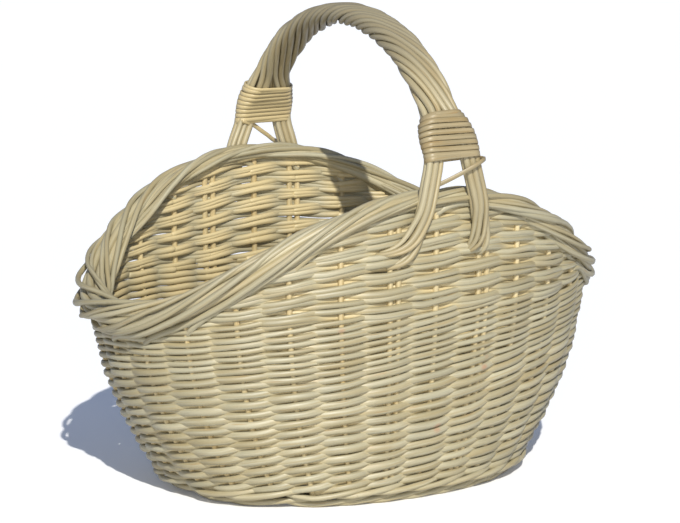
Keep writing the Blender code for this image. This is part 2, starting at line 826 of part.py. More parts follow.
def build():
    """Make every piece of the basket."""
    clear_scene()
    make_long_sticks()
    make_cross_sticks()
    make_base_weave()
    make_foot()
    make_upset()
    make_stakes()
    make_wall_weave()
    make_side_packing()
    make_border()
    make_handle_rods()
    make_binding("handle_binding_near", False)
    make_binding("handle_binding_far", True)
    make_tie("handle_tie_near", False)
    make_tie("handle_tie_far", True)


build()
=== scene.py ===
"""The looks of a willow gift basket: every rod of its weave, its finishes, light and camera."""

import math
from collections import namedtuple

import bmesh
import bpy
import numpy as np
from bpy.props import FloatProperty, FloatVectorProperty, IntProperty, PointerProperty
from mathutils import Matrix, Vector


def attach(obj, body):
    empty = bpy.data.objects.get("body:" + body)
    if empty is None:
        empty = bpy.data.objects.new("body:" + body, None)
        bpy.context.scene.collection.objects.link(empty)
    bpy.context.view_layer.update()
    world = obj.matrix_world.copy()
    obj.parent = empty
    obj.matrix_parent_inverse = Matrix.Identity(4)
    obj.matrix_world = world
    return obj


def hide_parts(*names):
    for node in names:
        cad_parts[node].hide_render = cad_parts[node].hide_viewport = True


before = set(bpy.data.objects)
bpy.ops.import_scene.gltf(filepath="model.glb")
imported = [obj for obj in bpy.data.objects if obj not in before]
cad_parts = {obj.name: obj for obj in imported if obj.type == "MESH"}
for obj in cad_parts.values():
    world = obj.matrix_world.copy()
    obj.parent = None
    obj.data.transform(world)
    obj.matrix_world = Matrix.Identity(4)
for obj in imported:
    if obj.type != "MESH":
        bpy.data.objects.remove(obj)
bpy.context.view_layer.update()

bl_info = {
    "name": "Willow gift basket",
    "version": (1, 0, 0),
    "blender": (4, 5, 0),
    "location": "3D View > Sidebar > Willow basket",
    "description": "Weaves an oval willow basket with a roped handle, rod by rod",
    "category": "Add Mesh",
}

GRAIN = "grained_"

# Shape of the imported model, in metres

BASE_LENGTH = 0.267
BASE_WIDTH = 0.204
WALL_LENGTH = 0.400
WALL_WIDTH = 0.260
BULGE_HEIGHT = 0.180
BULGE_POWER = 2.2
OVAL_POWER = 2.16
LOW_RIM = 0.142
HIGH_RIM = 0.230
RIM_RISE_POWER = 1.4
STAKE_COUNT = 28
STICK_LEVEL = 0.00915
STAKE_BEND = 0.0045
STAKE_FOOT = ((-0.016, 0.0), (-0.0075, 0.0), (-0.0030, 0.0010))
BORDER_END_HEIGHT = 0.030
BORDER_END_DEPTH = 0.0285
BORDER_LOPSIDED = 0.0040
BORDER_SIDE_HEIGHT = 0.0152
BORDER_SIDE_DEPTH = 0.021
BORDER_THINNING_POWER = 3
BORDER_FILL = 0.477
HANDLE_NEAR_OFFSET = 0.0035
HANDLE_FAR_OFFSET = 0.0155
HANDLE_TOP = 0.3500
HANDLE_HALF_SPAN = 0.1469
NEAR_BINDING_ABOVE_RIM = 0.0305
FAR_BINDING_ABOVE_RIM = 0.023
BINDING_LENGTH = 0.0306
ROPE_FLAT = 0.01386
ROPE_ROUND = 0.0058
ROPE_CORE_WIDTH = 0.0062
ROPE_CORE_DEPTH = 0.0066
ROPE_CORE_IN_BINDING = 0.012

# Pattern of the weave

ROW_SWAY = ((0.0010, 3, 40, 0.0), (0.0007, 7, -65, 1.0))
RAND_FIRST_ROW = 0.0170
RAND_LEVELS = 21
RAND_LOW_PITCH = 0.0074
RAND_HIGH_PITCH = 0.0050
RAND_THINNING_LEVEL = 11
RAND_FILL = 0.80
RAND_REFERENCE = 0.0053
RAND_REACH = 0.47
CROSSING_BULGE = 0.10
STROKE_TURN = (0.0, 0.25, 0.5, 0.75, 1.0, 1.25, 1.5, 1.75, 2.0)
LOW_RISE = (0.0, 0.12, 0.31, 0.46, 0.50, 0.54, 0.69, 0.88, 1.0)
HIGH_RISE = (0.0, 0.20, 0.42, 0.57, 0.50, 0.43, 0.58, 0.80, 1.0)
SLEW_FIRST_ROW = 0.1490
SLEW_ROWS = 15
SLEW_ROW_STEP = 0.0068
SLEW_NARROWING = 0.28
SLEW_TILT = 0.0010
SLEW_PAIR_GAP = 0.0042
SLEW_REACH = 0.52
SLEW_OF_THREE = 0.35
WALE_TURN = (-1.0, -0.45, 0.0, 0.5, 1.0, 1.5, 2.0)
WALE_RISE = (0.0, -1.0, -0.75, 0.0, 0.75, 1.0, 0.0)
WALE_SIDE = (-1.0, 0.1, 0.95, 1.15, 1.0, 0.2, -1.0)
STAKES_WITH_LINERS = (6, 8, 20, 22)
LINER_BESIDE_STAKE = 0.19
BORDER_TURN = (0.0, 0.75, 1.75, 2.8, 3.7, 4.4, 5.2, 6.1, 7.1)
BORDER_ROLL = (-105, -78, -45, 0, 50, 100, 145, 180, 210)
ADDED_TURN = (0.0, 1.3, 2.7, 4.4, 5.8)
ADDED_ROLL = (-70, -30, 30, 120, 165)
BORDER_CORE_RODS = 6
BORDER_CORE_TWIST = 0.35
HANDLE_RODS = 12
ROPE_TURNS = 2.0
ROPE_EVENNESS = 0.4
BINDING_TURNS = 10
NEAR_BINDING_TILT = (0.02, 0.02)
FAR_BINDING_TILT = (-0.02, -0.04)
FAR_BINDING_LEAN = 0.30
# Painted light on the far binding: its skein is mixed towards the light crevice colour, standing in for sun
# that falls on it.
FAR_BINDING_PAINTED_LIGHT = 0.9
SKEIN_CORNERS = 0.5
SKEIN_THICKNESS = 0.0016
TIE_THICKNESS = 0.0014
TIE_OVER_LEG = 0.0012
NEAR_TIE = (
    (0.0275, -0.0020, -0.3), (0.0285, -0.0030, 0.4), (0.0240, -0.0045, 1.0), (0.0165, -0.0078, 1.0),
    (0.0060, -0.0123, 0.3), (-0.0040, -0.0167, -0.4), (-0.0130, -0.0205, -1.1), (-0.0190, -0.0225, -1.2),
)
FAR_TIE = (
    (0.0200, 0.0030, -1.0), (0.0130, 0.0000, -0.9), (0.0075, -0.0033, -0.5), (0.0, -0.0087, -0.3),
    (-0.0075, -0.0135, 0.1), (-0.0140, -0.0180, 0.6), (-0.0190, -0.0200, 1.0),
)
LONG_LEG = (
    (0.0172, 0.0070), (0.0212, -0.0120), (0.0242, -0.0250), (0.0290, -0.0340), (0.0345, -0.0392),
    (0.0440, -0.0430), (0.0535, -0.0440),
)
SHORT_LEG = (
    (0.0240, 0.0070), (0.0292, -0.0110), (0.0318, -0.0220), (0.0325, -0.0310), (0.0316, -0.0370),
    (0.0300, -0.0415), (0.0282, -0.0450),
)
UNDER_NEAR_BINDING = (0.0128, 0.0165)
UNDER_FAR_BINDING = (0.0170, 0.0150)
FAR_LONG_LEG_SHIFT = 0.0032
LEG_TWIST = 1.5
LEG_HALF_WIDTH = 0.0046
LEG_ROD_STEP = 0.0046
LEG_HALF_THICKNESS = 0.0021
LEG_LIFT = 0.0019
LEG_ON_WEAVE = 0.0055
LEG_ROUNDING = 18
LONG_STICKS = 3
LONG_STICK_STEP = 0.0056
LONG_STICK_WIDTH = 0.0052
LONG_STICK_DEPTH = 0.0050
CROSS_STICKS = 5
CROSS_STICK_STEP = 0.0200
CROSS_STICK_WIDTH = 0.0060
CROSS_STICK_HALF_DEPTH = 0.0030
SLIT_SPREAD = 0.0012
SLIT_SPREAD_AT_LONG_STICKS = 0.0026
SLIT_LENGTH = 0.32
BASE_EDGE_INSET = 0.0060
BASE_FAN_FROM_X = 0.005
BASE_FAN_FROM_Y = 0.0125
BASE_WEAVE_START = 0.0026
BASE_WEAVE_REACH = 0.0024
BASE_WEAVE_PITCH = 1.06

# Camera and light, fitted to the view that the basket is shown from

CAMERA_AZIMUTH = math.radians(-31.89)
CAMERA_ELEVATION = math.radians(9.48)
CAMERA_DISTANCE = 2.65
CAMERA_TARGET_HEIGHT = 0.2
CAMERA_LENS = 185.65
CAMERA_PAN = -0.00036
CAMERA_TILT = -0.01386
SUN_AZIMUTH = math.radians(-24)
SUN_ELEVATION = math.radians(38)
SUN_WIDTH = math.radians(0.7)
FRONT_ELEVATION = math.radians(4)
FRONT_WIDTH = math.radians(25)
WHITE = (1.0, 1.0, 1.0, 1.0)
LAMP_COLOUR = (1.0, 0.97, 0.91)
LAMP_DISTANCE = 3
FLOOR_SIZE = 12.0

# Finishes

# Heights over which the handle darkens towards its top.
DARKER_TOP_FROM = 0.315
DARKER_TOP_UP_TO = 0.36
RIPE_TINT = (0.94, 0.82, 0.62)
CREAM_TINT = (1.30, 1.31, 1.38)
COOL_TINT = (0.85, 0.89, 0.98)
DULL_TINT = (0.66, 0.61, 0.52)
STAIN_PLACES = ((22.29, 0.1084), (22.24, 0.0995), (21.19, 0.0576), (18.98, 0.138))
STAIN_OUT = 0.006

# Besides its shape, each rod carries one amount that sets how strongly painted warm crevice light, standing
# in for bounce light in the shade between rods, is mixed into its colour; for the wall's rods it follows how
# far the rod lies behind a stake.
Rod = namedtuple("Rod", "route outward width depth tuck corners", defaults=(1.0,))


# The wall's surface. A place counts stakes round the basket; place 0 is the right end.

def flare(height):
    """How far the wall has bulged out at a height, from 0 at the base to 1."""
    return 1 - (1 - np.clip(height / BULGE_HEIGHT, 0, 1)) ** BULGE_POWER


def half_sizes(height):
    """Half length and half width of the wall at a height."""
    grown = flare(height)
    length = BASE_LENGTH + (WALL_LENGTH - BASE_LENGTH) * grown
    width = BASE_WIDTH + (WALL_WIDTH - BASE_WIDTH) * grown
    return length / 2, width / 2


def oval(half_length, half_width, angle):
    """Point of the basket's outline at an angle."""
    c, s = np.cos(angle), np.sin(angle)
    x = half_length * np.copysign(np.abs(c) ** (2 / OVAL_POWER), c)
    y = half_width * np.copysign(np.abs(s) ** (2 / OVAL_POWER), s)
    return x, y


def even_angles(count, half_length, half_width):
    """Angles of places equally far apart along an outline."""
    turn = np.linspace(0, 2 * math.pi, 4001)
    x, y = oval(half_length, half_width, turn)
    run = np.concatenate([[0], np.cumsum(np.hypot(np.diff(x), np.diff(y)))])
    return np.interp(np.arange(count + 1) * run[-1] / count, run, turn)


STAKE_ANGLES = even_angles(STAKE_COUNT, *half_sizes(LOW_RIM / 2))


def angle_at(place):
    """Angle of a place, which may lie between two stakes."""
    return np.interp(np.mod(place, STAKE_COUNT), np.arange(STAKE_COUNT + 1), STAKE_ANGLES)


def wall_point(place, height):
    """Points in the middle of the wall."""
    place, height = np.broadcast_arrays(np.asarray(place, float), np.asarray(height, float))
    x, y = oval(*half_sizes(height), angle_at(place))
    return np.stack([x, y, height], -1)


def unit(vectors):
    """Vectors scaled to length 1."""
    return vectors / np.linalg.norm(vectors, axis=-1, keepdims=True)


def wall_outward(place, height):
    """Directions straight out of the wall."""
    place, height = np.broadcast_arrays(np.asarray(place, float), np.asarray(height, float))
    along = wall_point(place + 0.05, height) - wall_point(place - 0.05, height)
    up = wall_point(place, height + 0.001) - wall_point(place, np.maximum(height - 0.001, 0))
    return unit(np.cross(along, up))


def side_rise(place):
    """0 at the ends of the basket and 1 at the middle of its sides."""
    return np.sin(angle_at(place)) ** 2


def rim_height(place):
    """Height of the border's middle."""
    return LOW_RIM + (HIGH_RIM - LOW_RIM) * side_rise(place) ** RIM_RISE_POWER


def border_size(place):
    """Height and depth of the border, which thins towards the sides and is deepest at the left end."""
    thin = side_rise(place) ** BORDER_THINNING_POWER
    height = BORDER_END_HEIGHT + (BORDER_SIDE_HEIGHT - BORDER_END_HEIGHT) * thin
    depth = BORDER_END_DEPTH + (BORDER_SIDE_DEPTH - BORDER_END_DEPTH) * thin
    return height, depth - BORDER_LOPSIDED * np.cos(angle_at(place))


def border_underside(place):
    """Height at which the wall meets the border."""
    return rim_height(place) - BORDER_FILL * border_size(place)[0]


def wander(random, count, step, reach):
    """A slow random drift along a rod, with a new aim every few points."""
    knots = random.uniform(-reach, reach, int(count / step) + 3)
    return np.interp(np.arange(count) / step, np.arange(len(knots)), knots)


# Laying rods

def select_in_edit(piece, mode, wanted):
    """Select the vertices, edges or faces that a test picks."""
    bpy.ops.mesh.select_mode(type=mode)
    bpy.ops.mesh.select_all(action="DESELECT")
    shape = bmesh.from_edit_mesh(piece.data)
    for element in {"EDGE": shape.edges, "FACE": shape.faces}[mode]:
        element.select_set(wanted(element))
    bmesh.update_edit_mesh(piece.data)


def make_blank(segments, sides):
    """A straight rod of radius 1 and length 1, cut into segments, with chamfered ends."""
    bpy.ops.object.select_all(action="DESELECT")
    bpy.ops.mesh.primitive_cylinder_add(
        vertices=sides, radius=1.0, depth=1.0, end_fill_type="NGON", calc_uvs=False,
    )
    blank = bpy.context.object
    blank.name = f"rod_blank_{segments}_{sides}"
    bpy.ops.object.mode_set(mode="EDIT")
    bpy.ops.transform.translate(value=(0, 0, 0.5))
    first = max(1, math.ceil(segments / 80))
    for cuts in (first - 1, segments // first - 1):
        if cuts > 0:
            select_in_edit(blank, "EDGE", lambda e: abs(e.verts[0].co.z - e.verts[1].co.z) > 1e-5)
            bpy.ops.mesh.subdivide(number_cuts=cuts)
    for end, outward in ((0.0, -1), (1.0, 1)):
        select_in_edit(blank, "FACE", lambda f: all(abs(v.co.z - end) < 1e-5 for v in f.verts))
        bpy.ops.mesh.inset(thickness=0.25)
        bpy.ops.transform.translate(value=(0, 0, outward * 0.2))
    bpy.ops.object.mode_set(mode="OBJECT")
    bpy.ops.object.shade_smooth_by_angle(angle=math.radians(60))
    return blank


BLANKS = {}


def blank_for(segments, sides):
    """The blank with at least that many segments, made when it is first needed."""
    segments = max(8, 8 * math.ceil(segments / 8))
    first = max(1, math.ceil(segments / 80))
    segments = first * math.ceil(segments / first)
    if (segments, sides) not in BLANKS:
        BLANKS[segments, sides] = make_blank(segments, sides)
    return BLANKS[segments, sides], segments


def run_lengths(route):
    """Length along a route at each of its points."""
    return np.concatenate([[0], np.cumsum(np.linalg.norm(np.diff(route, axis=0), axis=1))])


def sample(at, run, values):
    """Sizes or points, given along a run, at other lengths along it."""
    if np.ndim(values) == 2:
        return np.stack([np.interp(at, run, column) for column in np.transpose(values)], -1)
    return np.interp(at, run, np.broadcast_to(values, run.shape))


def resample(rod, segments):
    """The rod's route, outward directions, width, depth and amount of painted crevice light at evenly spaced
    points.
    """
    run = run_lengths(rod.route)
    at = np.linspace(0, run[-1], segments + 1)
    return [sample(at, run, values) for values in rod[:5]]


def lay_rod(rod, tone, step, sides, shaded_side, floor):
    """Copy a blank and bend it along a rod's route."""
    length = run_lengths(rod.route)[-1]
    blank, segments = blank_for(length / step, sides)
    route, outward, width, depth, tuck_and_painted_light = resample(rod, segments)
    along = unit(np.gradient(route, axis=0))
    across = unit(np.cross(along, outward))
    facing = np.cross(across, along)
    laid = blank.copy()
    laid.data = blank.data.copy()
    bpy.context.collection.objects.link(laid)
    count = len(laid.data.vertices)
    straight = np.empty(count * 3)
    laid.data.vertices.foreach_get("co", straight)
    straight = straight.reshape(-1, 3)
    ring = np.clip(np.rint(straight[:, 2] * segments), 0, segments).astype(int)
    past_end = straight[:, 2] - np.clip(straight[:, 2], 0, 1)
    section = np.copysign(np.abs(straight[:, :2]) ** rod.corners, straight[:, :2])
    x = section[:, 0] * width[ring] / 2
    y = section[:, 1] * depth[ring] / 2
    bent = route[ring] + x[:, None] * across[ring] + y[:, None] * facing[ring]
    bent += (past_end * width[ring])[:, None] * along[ring]
    if floor is not None:
        bent[:, 2] = np.maximum(bent[:, 2], floor)
    laid.data.vertices.foreach_set("co", bent.ravel())
    grain = laid.data.attributes.new("straight_rod", "FLOAT_VECTOR", "POINT")
    grain.data.foreach_set("vector", np.stack([ring * length / segments, x, y], -1).ravel())
    # Painted crevice light: rods get a lighter, warm colour where they pass behind others and, by
    # shaded_side, on their inward-facing half, standing in for bounce light in the shade there.
    inward = np.clip(-straight[:, 1], 0, 1) * shaded_side
    for name, values in (("tone", np.full(count, tone)), ("painted_crevice_light", np.clip(tuck_and_painted_light[ring] + inward, 0, 1))):
        laid.data.attributes.new(name, "FLOAT", "POINT").data.foreach_set("value", values)
    return laid


def make_piece(name, rods, slot, replaced, random, step=0.004, sides=8, shaded_side=0.0, floor=None):
    """Lay rods, join them in one piece, give it its finish and hide the imported nodes it stands for."""
    laid = [lay_rod(rod, random.uniform(0, 1), step, sides, shaded_side, floor) for rod in rods]
    bpy.ops.object.select_all(action="DESELECT")
    for part in laid:
        part.select_set(True)
    bpy.context.view_layer.objects.active = laid[0]
    if len(laid) > 1:
        bpy.ops.object.join()
    piece = bpy.context.object
    piece.name = name
    piece.data.name = name
    piece.data.materials.clear()
    piece.data.materials.append(bpy.data.materials[GRAIN + slot])
    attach(piece, "root")
    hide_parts(*replaced)
    return piece


def remove_blanks():
    """Delete the blanks once all rods are laid."""
    for blank in BLANKS.values():
        bpy.data.objects.remove(blank)
    BLANKS.clear()


# Weaving patterns

def rand_height(level):
    """Height of a row of the randed wall; rows draw together above."""
    levels = np.arange(-2, RAND_LEVELS + 3)
    pitch = rand_pitch(levels)
    heights = np.concatenate([[0], np.cumsum(pitch[:-1])])
    heights += RAND_FIRST_ROW - heights[2]
    return np.interp(level, levels, heights)


def rand_pitch(level):
    """Height from one row of the randed wall to the next."""
    closeness = np.clip((level - RAND_THINNING_LEVEL + 1.5) / 3, 0, 1)
    return RAND_LOW_PITCH + (RAND_HIGH_PITCH - RAND_LOW_PITCH) * closeness


def stroke_rise(turn):
    """Levels that a rod has risen; the finer rods above climb in front of a stake and dip behind it."""
    rise = 0
    for shift in (-0.09, 0.0, 0.09):
        whole, part = np.divmod(turn + shift, 2)
        low, high = np.interp(part, STROKE_TURN, LOW_RISE), np.interp(part, STROKE_TURN, HIGH_RISE)
        fine = np.clip((whole - RAND_THINNING_LEVEL + 3) / 4, 0, 1)
        rise = rise + (whole + low + (high - low) * fine) / 3
    return rise


def sway(place, height):
    """Unevenness of the rows round the wall."""
    round_wall = 2 * math.pi * place / STAKE_COUNT
    return sum(
        reach * np.sin(waves * round_wall + climb * height + start) for reach, waves, climb, start in ROW_SWAY
    )


def kept_runs(keep):
    """Start and end of each unbroken stretch of points that are kept."""
    edges = np.flatnonzero(np.diff(np.concatenate([[0], keep.astype(int), [0]])))
    return [(a, b) for a, b in zip(edges[::2], edges[1::2]) if b - a > 7]


def cut_where(rod_points, keep):
    """Split a rod into the stretches that are kept."""
    return [Rod(*(values[a:b] for values in rod_points)) for a, b in kept_runs(keep)]


def woven(place, height, turn, reach, random):
    """Route in front of one stake and behind the next, with its directions, how far it is tucked behind
    (which also sets its painted crevice light) and fullness.
    """
    side = np.cos(math.pi * turn)
    offset = reach * np.copysign(np.abs(side) ** 0.8, side) + wander(random, len(turn), 6, 0.0003)
    out = wall_outward(place, height)
    route = wall_point(place, height) + offset[:, None] * unit(out * (1, 1, 0.35))
    return route, out, np.clip(0.15 - side, 0, 1), 1 + CROSSING_BULGE * (1 - np.abs(side))


def rand_rods(sizes, random):
    """One rod to each stake, in front of one stake and behind the next, rising as it goes."""
    rods = []
    for stake in range(STAKE_COUNT):
        turn = np.arange(-1.0, 2 * RAND_LEVELS - 0.5, 0.1)
        place = stake + turn
        level = stroke_rise(turn)
        height = rand_height(level) + wander(random, len(turn), 5, 0.0003)
        height = height + sway(place, height)
        thick = RAND_FILL * rand_pitch(level - 1) * sizes.rand_rod / RAND_REFERENCE
        thick = thick * random.uniform(0.88, 1.10) * (1 + wander(random, len(turn), 8, 0.14))
        reach = RAND_REACH * (sizes.stake + thick) / 2
        route, out, tuck_and_painted_light, fuller = woven(place, height, turn, reach, random)
        keep = height < rim_height(place) - 0.02 * border_size(place)[0]
        rods += cut_where((route, out, thick * fuller * (1 + 0.16 * tuck_and_painted_light), 0.88 * thick, tuck_and_painted_light), keep)
    return rods


def slew_rods(sizes, random):
    """Level rows that fill the raised sides, two or three rods together in front of every other stake."""
    rods = []
    for middle in (STAKE_COUNT // 4, 3 * STAKE_COUNT // 4):
        for row in range(SLEW_ROWS):
            members = (-1.25, 0, 1.25) if random.uniform() < SLEW_OF_THREE else (-1, 1)
            for member in members:
                start = middle - 7 + (middle + row) % 2
                while start < middle + 7:
                    end = start + 2 * random.integers(2, 4)
                    rods += slew_rod(start, end, row, member, 2 / len(members), middle, sizes, random)
                    start = end
    return rods


def slew_rod(start, end, row, member, share, middle, sizes, random):
    """One rod of a row, from behind one stake to behind another."""
    place = np.arange(start + 0.10, end + 0.15, 0.1)
    turn = place + row
    narrowing = 1 - SLEW_NARROWING * np.clip(np.abs(place - middle) / 4, 0, 1) ** 1.5
    height = SLEW_FIRST_ROW + row * SLEW_ROW_STEP * narrowing + SLEW_TILT * np.sin(math.pi * turn)
    height = height + 1.5 * sway(place, SLEW_FIRST_ROW) + member * SLEW_PAIR_GAP / 2 * narrowing
    height = height + wander(random, len(place), 6, 0.0009)
    thick = sizes.slew_rod * share ** 0.6 * narrowing ** 0.4 * random.uniform(0.9, 1.12)
    thick = thick * (1 + wander(random, len(place), 8, 0.10))
    reach = SLEW_REACH * (sizes.stake + thick) / 2
    route, out, tuck_and_painted_light, fuller = woven(place, height, turn, reach, random)
    above_rand = height > rand_height(RAND_LEVELS - 1) + 0.0010
    keep = above_rand & (height < rim_height(place) + 0.10 * border_size(place)[0])
    return cut_where((route, out, thick * fuller, 0.9 * thick, tuck_and_painted_light), keep)


def wale_rods(middle_height, middle_offset, side_reach, rise, thick, random):
    """Three rods, each in front of two stakes and behind one, that cross like a rope."""
    rods = []
    for member in range(3):
        turn = np.arange(0.0, STAKE_COUNT + 0.55, 0.1)
        place = turn + member * STAKE_COUNT / 3
        stroke = np.mod(turn + member * (STAKE_COUNT / 3 - 1) + 1, 3) - 1
        height = middle_height + rise * np.interp(stroke, WALE_TURN, WALE_RISE)
        height = height + wander(random, len(turn), 6, 0.0003)
        offset = middle_offset + side_reach * np.interp(stroke, WALE_TURN, WALE_SIDE)
        out = wall_outward(place, middle_height)
        route = wall_point(place, height) + offset[:, None] * out
        size = thick * (1 + wander(random, len(turn), 9, 0.07))
        # Wale rods get a little painted crevice light, standing in for bounce light in the shade between
        # them.
        rods.append(Rod(route, out, size, size, 0.15))
    return rods


def stake_rods(sizes):
    """Stakes from the base up under the border, and liners beside those near the handle."""
    places = [float(k) for k in range(STAKE_COUNT)]
    places += [k + LINER_BESIDE_STAKE for k in STAKES_WITH_LINERS]
    rods = []
    for place in places:
        foot = wall_point(place, STICK_LEVEL)
        level_out = unit(wall_outward(place, STICK_LEVEL) * (1, 1, 0))
        heights = np.linspace(STICK_LEVEL + STAKE_BEND, rim_height(place) - 0.002, 40)
        root = [foot + out * level_out + (0, 0, up) for out, up in STAKE_FOOT]
        route = np.concatenate([root, wall_point(place, heights)])
        facing = np.concatenate([np.tile((0, 0, -1.0), (len(root), 1)), wall_outward(place, heights)])
        rods.append(Rod(route, facing, sizes.stake, sizes.stake, 0.0))
    return rods


def border_point(place, roll, shrink, rod):
    """Point of the border's roll and the direction out of the roll there."""
    height, depth = border_size(place)
    half_height = (BORDER_FILL * height - rod / 2) * shrink
    half_depth = (BORDER_FILL * depth - rod / 2) * shrink
    middle = wall_point(place, rim_height(place))
    out = unit(wall_outward(place, rim_height(place)) * (1, 1, 0))
    up = np.broadcast_to((0.0, 0.0, 1.0), out.shape)
    facing = np.cos(roll)[:, None] * out + np.sin(roll)[:, None] * up
    shift = (half_depth * np.cos(roll))[:, None] * out + (half_height * np.sin(roll))[:, None] * up
    return middle + shift, facing


def border_rods(sizes, random):
    """Stake tops and shorter added rods bent down to the right and rolled round the rim."""
    rods = []
    for start in range(STAKE_COUNT):
        rods.append(stake_top(start, sizes, random))
        if start % 3:
            rods.append(added_rod(start + random.uniform(0.2, 0.8), sizes, random))
    return rods


def stake_top(start, sizes, random):
    """One stake's top: low along the outside, up over the rim and down on the inside."""
    stretch = random.uniform(0.9, 1.1)
    turn = np.arange(0.0, BORDER_TURN[-1] * stretch, 0.12)
    place = start + turn
    roll = np.radians(np.interp(turn / stretch, BORDER_TURN, BORDER_ROLL))
    roll = roll + wander(random, len(turn), 14, 0.32) + random.uniform(-0.25, 0.25)
    thick = sizes.border_rod * random.uniform(0.78, 1.15) * (1 - 0.30 * turn / turn[-1])
    shrink = 0.98 + wander(random, len(turn), 12, 0.06)
    leaving = smooth((turn / turn[-1] - 0.84) / 0.16)
    point, facing = border_point(place, roll, shrink * (1 - 0.45 * leaving), thick)
    stem_height = border_underside(place[0]) - 0.005 + 0.012 * turn
    out = wall_outward(place, stem_height)
    stem = wall_point(start + 0.3 * turn, stem_height) + (0.011 * turn - 0.0005)[:, None] * out
    joining = smooth(turn / 0.8)
    return Rod(stem + (point - stem) * joining[:, None], facing, thick, thick, 0.0)


def added_rod(start, sizes, random):
    """A shorter rod laid in with the stake tops, deeper where the border is slim."""
    turn = np.arange(0.0, ADDED_TURN[-1], 0.12)
    place = start + turn
    roll = np.radians(np.interp(turn, ADDED_TURN, ADDED_ROLL)) + wander(random, len(turn), 16, 0.25)
    thick = 0.85 * sizes.border_rod * random.uniform(0.80, 1.15) * (1 - 0.22 * turn / turn[-1])
    ends = smooth(turn / 0.8) * smooth((turn[-1] - turn) / 0.8)
    shrink = (0.5 + 0.5 * ends) * (0.90 - 0.28 * side_rise(place) ** 2)
    shrink = shrink + wander(random, len(turn), 12, 0.06)
    point, facing = border_point(place, roll, shrink, thick)
    # Added rods get a little painted crevice light, standing in for bounce light in the border's shade.
    return Rod(point, facing, thick, thick, 0.12)


def border_core(sizes, random):
    """Rods inside the roll, which fill it."""
    rods = []
    for member in range(BORDER_CORE_RODS):
        place = np.arange(0.0, STAKE_COUNT + 0.3, 0.15)
        roll = 2 * math.pi * member / BORDER_CORE_RODS + BORDER_CORE_TWIST * place
        route, facing = border_point(place, roll, 0.50, sizes.border_rod)
        size = 1.3 * sizes.border_rod * (1 + wander(random, len(place), 6, 0.08))
        # The core rods get a little painted crevice light, standing in for bounce light in the roll's shade.
        rods.append(Rod(route, facing, size, size, 0.2))
    return rods


# Handle

def handle_line():
    """Points along the middle of the handle and the length up to each."""
    turn = np.linspace(0, math.pi, 721)
    y = -HANDLE_HALF_SPAN * np.cos(turn)
    z = HIGH_RIM + (HANDLE_TOP - HIGH_RIM) * np.sin(turn)
    x = HANDLE_NEAR_OFFSET + (HANDLE_FAR_OFFSET - HANDLE_NEAR_OFFSET) * (1 - np.cos(turn)) / 2
    points = np.stack([x, y, z], -1)
    return points, run_lengths(points)


HANDLE_POINTS, HANDLE_RUN = handle_line()
HANDLE_LENGTH = HANDLE_RUN[-1]


def on_handle(distance):
    """Middle of the handle and its outward direction at distances along it."""
    before, middle, after = (
        sample(distance + shift, HANDLE_RUN, HANDLE_POINTS) for shift in (-0.001, 0, 0.001)
    )
    along = unit(after - before)
    return middle, unit(np.cross(np.broadcast_to((1.0, 0.0, 0.0), along.shape), along))


def along_x(x):
    """Points on the X axis."""
    return np.stack([x, np.zeros_like(x), np.zeros_like(x)], -1)


def flat_ring(part, flat, radius):
    """Points of a ring with two straight sides and round ends."""
    part = np.mod(part, 1.0)
    half = flat + math.pi * radius
    distance = part * 2 * half
    sign = np.where(distance >= half, -1.0, 1.0)
    distance = np.mod(distance, half)
    quarter = math.pi * radius / 2
    first = distance < quarter
    last = distance >= quarter + flat
    angle = np.where(last, math.pi / 2 + (distance - quarter - flat) / radius, distance / radius)
    x = np.where(first, flat / 2 + radius * np.cos(angle), flat / 2 - (distance - quarter))
    x = np.where(last, -flat / 2 + radius * np.cos(angle), x)
    y = np.where(first | last, radius * np.sin(angle), radius)
    return sign * x, sign * y


def smooth(part):
    """Ease from 0 to 1."""
    part = np.clip(part, 0, 1)
    return part * part * (3 - 2 * part)


def half_apart(above, far):
    """How far the two halves of the handle stand apart, at lengths above a binding's lower edge."""
    start = BINDING_LENGTH + 0.012 * far
    down = np.clip((start - above) / start, 0, 1)
    return 0.0016 * smooth(down * 6) + 0.0088 * down


def under_binding(half, far):
    """Sideways place of a leg's middle where it leaves the binding; the far side is turned half round."""
    long, short = UNDER_FAR_BINDING if far else UNDER_NEAR_BINDING
    return half * (short if (half > 0) != far else long)


